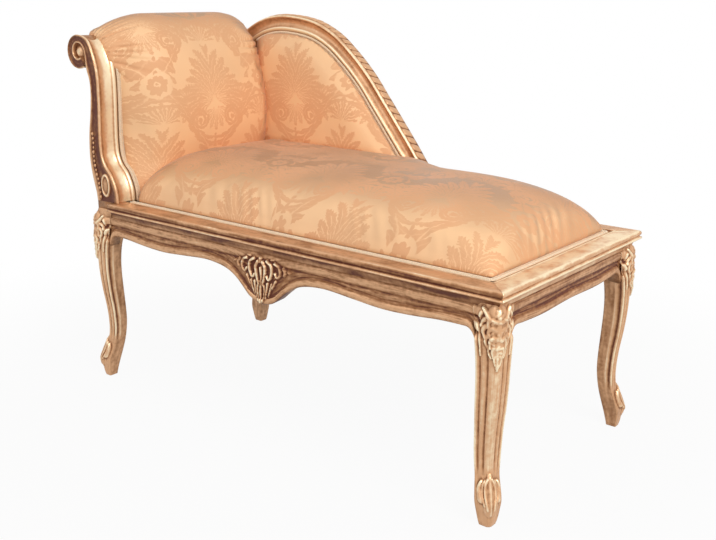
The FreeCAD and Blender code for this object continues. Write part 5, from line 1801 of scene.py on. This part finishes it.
def thicken(piece, thickness, offset):
    """Give a sheet its thickness: offset 0 for both ways, -1 for one."""
    thick = piece.modifiers.new("Thick", "SOLIDIFY")
    thick.thickness = thickness * MM
    thick.offset = offset
    bpy.context.view_layer.objects.active = piece
    bpy.ops.object.modifier_apply(modifier=thick.name)


def thin_sheet(name, over, chart, thickness=0.9):
    """Sheet of cloth from a grid of places, thickened both ways."""
    rows, columns = over.shape[:2]
    piece = new_piece(name, over.reshape(-1, 3), grid_faces(rows, columns), uv=chart * MM,
                      seal=False)
    thicken(piece, thickness, 0)
    face_out(piece.data)
    piece.data.shade_smooth()
    return piece


def outside_head_cover(damask):
    """Cover stretched between the posts over the outer side of the head."""
    outer = smooth_curve([COVER_LOW] + list(POST_OUTER[:11]) + [COVER_HIGH], COVER_STEPS)
    across = np.linspace(-COVER_HALF, COVER_HALF, COVER_STEPS)
    place, run = np.meshgrid(across, np.arange(COVER_STEPS), indexing="ij")
    bulge = 1.5 * (1 - (place / COVER_HALF) ** 2)
    grid = np.stack([outer[run, 0] + 2.4 - bulge, place, outer[run, 1]], axis=2)
    tall = run_length(outer)
    chart = np.stack([-place, run / (COVER_STEPS - 1) * tall], axis=2).reshape(-1, 2)
    cover = thin_sheet("outside_head_cover", grid, chart)
    dress(cover, damask, "damask", "head_outside_panel")


def outside_back_cover(damask):
    """Cover cut to the swoop over the rear of the back."""
    edge = swoop_line(300, 25)
    edge = edge[(edge[:, 1] > FRAME_TOP + 10) & (edge[:, 0] > BACK_COVER_LEFT)]
    edge = even(edge[::-1], 80)
    parts = np.linspace(0, 1, 80)
    base_x = BACK_COVER_LEFT + (edge[-1, 0] - 2 - BACK_COVER_LEFT) * parts
    rows = np.linspace(0, 1, 50)
    over = base_x[:, None] + (edge[:, :1] - base_x[:, None]) * rows
    up = FRAME_TOP + 2 + (edge[:, 1:] - FRAME_TOP - 2) * rows
    grid = np.stack([over, np.full_like(over, BACK_REAR + 1.8), up], axis=2)
    chart = np.stack([-over, up], axis=2).reshape(-1, 2)
    cover = thin_sheet("outside_back_cover", grid, chart)
    dress(cover, damask, "damask", "back_outside_panel")
    area = float(np.trapz(edge[:, 1] - FRAME_TOP - 2, edge[:, 0])) * MM * MM
    (edge[-1, 0] + 444) * MM
    (edge[:, 1].max() - FRAME_TOP) * MM


def dust_cover(cambric):
    """Cloth tacked under the rails, cut out round the legs."""
    over, deep = np.meshgrid(np.linspace(CLOTH_LOW[0], CLOTH_HIGH[0], 90),
                             np.linspace(CLOTH_LOW[1], CLOTH_HIGH[1], 50), indexing="ij")
    sag = 1.5 * (1 - (over / 500) ** 2) * (1 - (deep / 226) ** 2)
    grid = np.stack([over, deep, CLOTH_LOW[2] + 0.4 - sag], axis=2)
    from_end = np.minimum(over - CLOTH_LOW[0], CLOTH_HIGH[0] - over)
    from_side = np.minimum(deep - CLOTH_LOW[1], CLOTH_HIGH[1] - deep)
    corner = (from_end < CLOTH_CORNER) & (from_side < CLOTH_CORNER)
    faces = grid_faces(90, 50)
    keep = ~corner.ravel()[faces].any(axis=1)
    cloth = new_piece("dust_cover", grid.reshape(-1, 3), faces[keep], seal=False)
    thicken(cloth, 0.6, -1)
    bare = bmesh.new()
    bare.from_mesh(cloth.data)
    bmesh.ops.delete(bare, geom=[vert for vert in bare.verts if not vert.link_faces],
                     context="VERTS")
    bare.to_mesh(cloth.data)
    bare.free()
    face_out(cloth.data)
    dress(cloth, cambric, "cambric", "dust_cloth")


class RECAMIER_OT_covers(bpy.types.Operator):
    """Stretch the outside covers and the dust cloth"""
    bl_idname = "recamier.covers"
    bl_label = "Outside covers"

    def execute(self, context):
        damask = damask_material()
        outside_head_cover(damask)
        outside_back_cover(damask)
        dust_cover(woven_material("Black cambric", context.scene.recamier_colours.cambric,
                                  1.2, 0.2))
        return {"FINISHED"}


class RECAMIER_OT_inside(bpy.types.Operator):
    """Finish the hidden frame: braces, screws, rails, webbing and hessian"""
    bl_idname = "recamier.inside"
    bl_label = "Inside pieces"

    def execute(self, context):
        colours = context.scene.recamier_colours
        jute = woven_material("Jute weave", colours.jute, 3.0, 0.6)
        wood = wood_material()
        steel = steel_material()
        for node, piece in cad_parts.items():
            if piece.hide_render:
                continue
            finish = jute
            if "brace_screws" in node:
                finish = steel
            elif "brace" in node or "rail" in node:
                finish = wood
            piece.data.materials.clear()
            piece.data.materials.append(finish)
        return {"FINISHED"}


# Floor, lamps and camera

def seen_directly(tree):
    """1 for what the camera sees, itself or in a mirror or through glass."""
    rays = tree.nodes.new("ShaderNodeLightPath")
    return Wire(tree, rays.outputs["Is Camera Ray"]).most(
        Wire(tree, rays.outputs["Is Glossy Ray"])).most(
        Wire(tree, rays.outputs["Is Transmission Ray"]))


def backdrop_material(name, level):
    """Pale matt floor that the camera and mirrors see as white, with the
    object's shadow, fading into the room's white."""
    material = bpy.data.materials.new(name)
    material.use_nodes = True
    tree = material.node_tree
    tree.nodes.clear()
    matt = add_node(tree, "ShaderNodeBsdfDiffuse", {"Color": rgba((level,) * 3)})
    white = add_node(tree, "ShaderNodeEmission", {"Color": rgba((1, 1, 1)), "Strength": 1.0})
    seen = seen_directly(tree)
    away = add_node(tree, "ShaderNodeVectorMath", {0: object_place(tree)}, operation="LENGTH")
    far = Wire(tree, away.outputs["Value"]).step(0.6, 1.5)
    mix = tree.nodes.new("ShaderNodeMixShader")
    plug(tree, seen * (far * 0.06 + 0.94), mix.inputs[0])
    tree.links.new(matt.outputs[0], mix.inputs[1])
    tree.links.new(white.outputs[0], mix.inputs[2])
    output = tree.nodes.new("ShaderNodeOutputMaterial")
    tree.links.new(mix.outputs[0], output.inputs[0])
    return material


# Where both lamps point, and each one's place, width and tint
LAMP_TARGET = (0.0, 0.0, 0.4)
KEY_PLACE = (2.6, -0.9, 2.6)
KEY_SPAN = 1.8
KEY_TINT = (1.0, 0.97, 0.93)
FILL_PLACE = (-0.6, -3.0, 1.8)
FILL_SPAN = 2.4
FILL_TINT = (1.0, 0.98, 0.96)
FLOOR_REACH = 8000
FLOOR_GREY = 0.6


def area_lamp(name, place, power, span, tint):
    """Square soft lamp that points at the object."""
    lamp = bpy.data.lights.new(name, "AREA")
    lamp.energy = power
    lamp.size = span
    lamp.color = tint
    holder = bpy.data.objects.new(name, lamp)
    holder.location = place
    towards = Vector(LAMP_TARGET) - Vector(place)
    holder.rotation_euler = towards.to_track_quat("-Z", "Y").to_euler()
    bpy.context.scene.collection.objects.link(holder)
    return holder


def white_room(scene, sky_level):
    """Room that is seen as white and lights evenly at its own level."""
    world = bpy.data.worlds.new("room")
    scene.world = world
    world.use_nodes = True
    tree = world.node_tree
    tree.nodes.clear()
    strength = seen_directly(tree) * (1 - sky_level) + sky_level
    sky = add_node(tree, "ShaderNodeBackground", {"Color": rgba((1, 1, 1))})
    plug(tree, strength, sky.inputs["Strength"])
    output = tree.nodes.new("ShaderNodeOutputWorld")
    tree.links.new(sky.outputs[0], output.inputs[0])


def set_camera(scene, stage):
    """Camera at its place, turned by heading, pitch and roll."""
    lens = bpy.data.cameras.new("camera")
    lens.lens = stage.lens
    lens.sensor_width = 36
    camera = bpy.data.objects.new("camera", lens)
    heading, pitch, roll = stage.heading, stage.pitch, stage.roll
    ahead = Vector((math.cos(heading) * math.cos(pitch), math.sin(heading) * math.cos(pitch),
                    -math.sin(pitch)))
    level = Vector((math.sin(heading), -math.cos(heading), 0))
    upright = level.cross(ahead)
    right = math.cos(roll) * level + math.sin(roll) * upright
    up = -math.sin(roll) * level + math.cos(roll) * upright
    turn = Matrix((right, up, -ahead)).transposed()
    camera.matrix_world = Matrix.Translation(stage.place) @ turn.to_4x4()
    scene.collection.objects.link(camera)
    scene.camera = camera


class RECAMIER_OT_stage(bpy.types.Operator):
    """Set the pale floor, the soft lamps and the camera"""
    bl_idname = "recamier.stage"
    bl_label = "Stage"

    def execute(self, context):
        scene = context.scene
        stage = scene.recamier_stage
        corner = FLOOR_REACH
        floor = new_piece("floor", [(-corner, -corner, 0), (corner, -corner, 0),
                                    (corner, corner, 0), (-corner, corner, 0)],
                          [(0, 1, 2, 3)], seal=False)
        floor.data.materials.append(backdrop_material("floor", FLOOR_GREY))
        area_lamp("key", KEY_PLACE, stage.key_power, KEY_SPAN, KEY_TINT)
        area_lamp("fill", FILL_PLACE, stage.fill_power, FILL_SPAN, FILL_TINT)
        white_room(scene, stage.sky_level)
        set_camera(scene, stage)
        scene.view_settings.view_transform = "Standard"
        return {"FINISHED"}


STEPS = (RECAMIER_OT_stage, RECAMIER_OT_legs, RECAMIER_OT_rails, RECAMIER_OT_mouldings,
         RECAMIER_OT_posts, RECAMIER_OT_swoop, RECAMIER_OT_head, RECAMIER_OT_seat,
         RECAMIER_OT_back, RECAMIER_OT_braids, RECAMIER_OT_covers, RECAMIER_OT_inside)


class RECAMIER_PT_panel(bpy.types.Panel):
    """Sizes, colours and steps of the recamier"""
    bl_idname = "RECAMIER_PT_panel"
    bl_label = "Recamier"
    bl_space_type = "VIEW_3D"
    bl_region_type = "UI"
    bl_category = "Recamier"

    def draw(self, context):
        for group in (context.scene.recamier_sizes, context.scene.recamier_colours,
                      context.scene.recamier_stage):
            box = self.layout.box()
            for name in group.bl_rna.properties.keys():
                if name not in ("rna_type", "name"):
                    box.prop(group, name)
        for step in STEPS:
            self.layout.operator(step.bl_idname)


CLASSES = (RecamierSizes, RecamierColours, RecamierStage) + STEPS + (RECAMIER_PT_panel,)


def register():
    for item in CLASSES:
        bpy.utils.register_class(item)
    bpy.types.Scene.recamier_sizes = PointerProperty(type=RecamierSizes)
    bpy.types.Scene.recamier_colours = PointerProperty(type=RecamierColours)
    bpy.types.Scene.recamier_stage = PointerProperty(type=RecamierStage)


def unregister():
    del bpy.types.Scene.recamier_stage
    del bpy.types.Scene.recamier_colours
    del bpy.types.Scene.recamier_sizes
    for item in reversed(CLASSES):
        bpy.utils.unregister_class(item)


def main():
    register()
    for step in STEPS:
        getattr(bpy.ops.recamier, step.bl_idname.split(".")[1])()


if __name__ == "__main__":
    main()
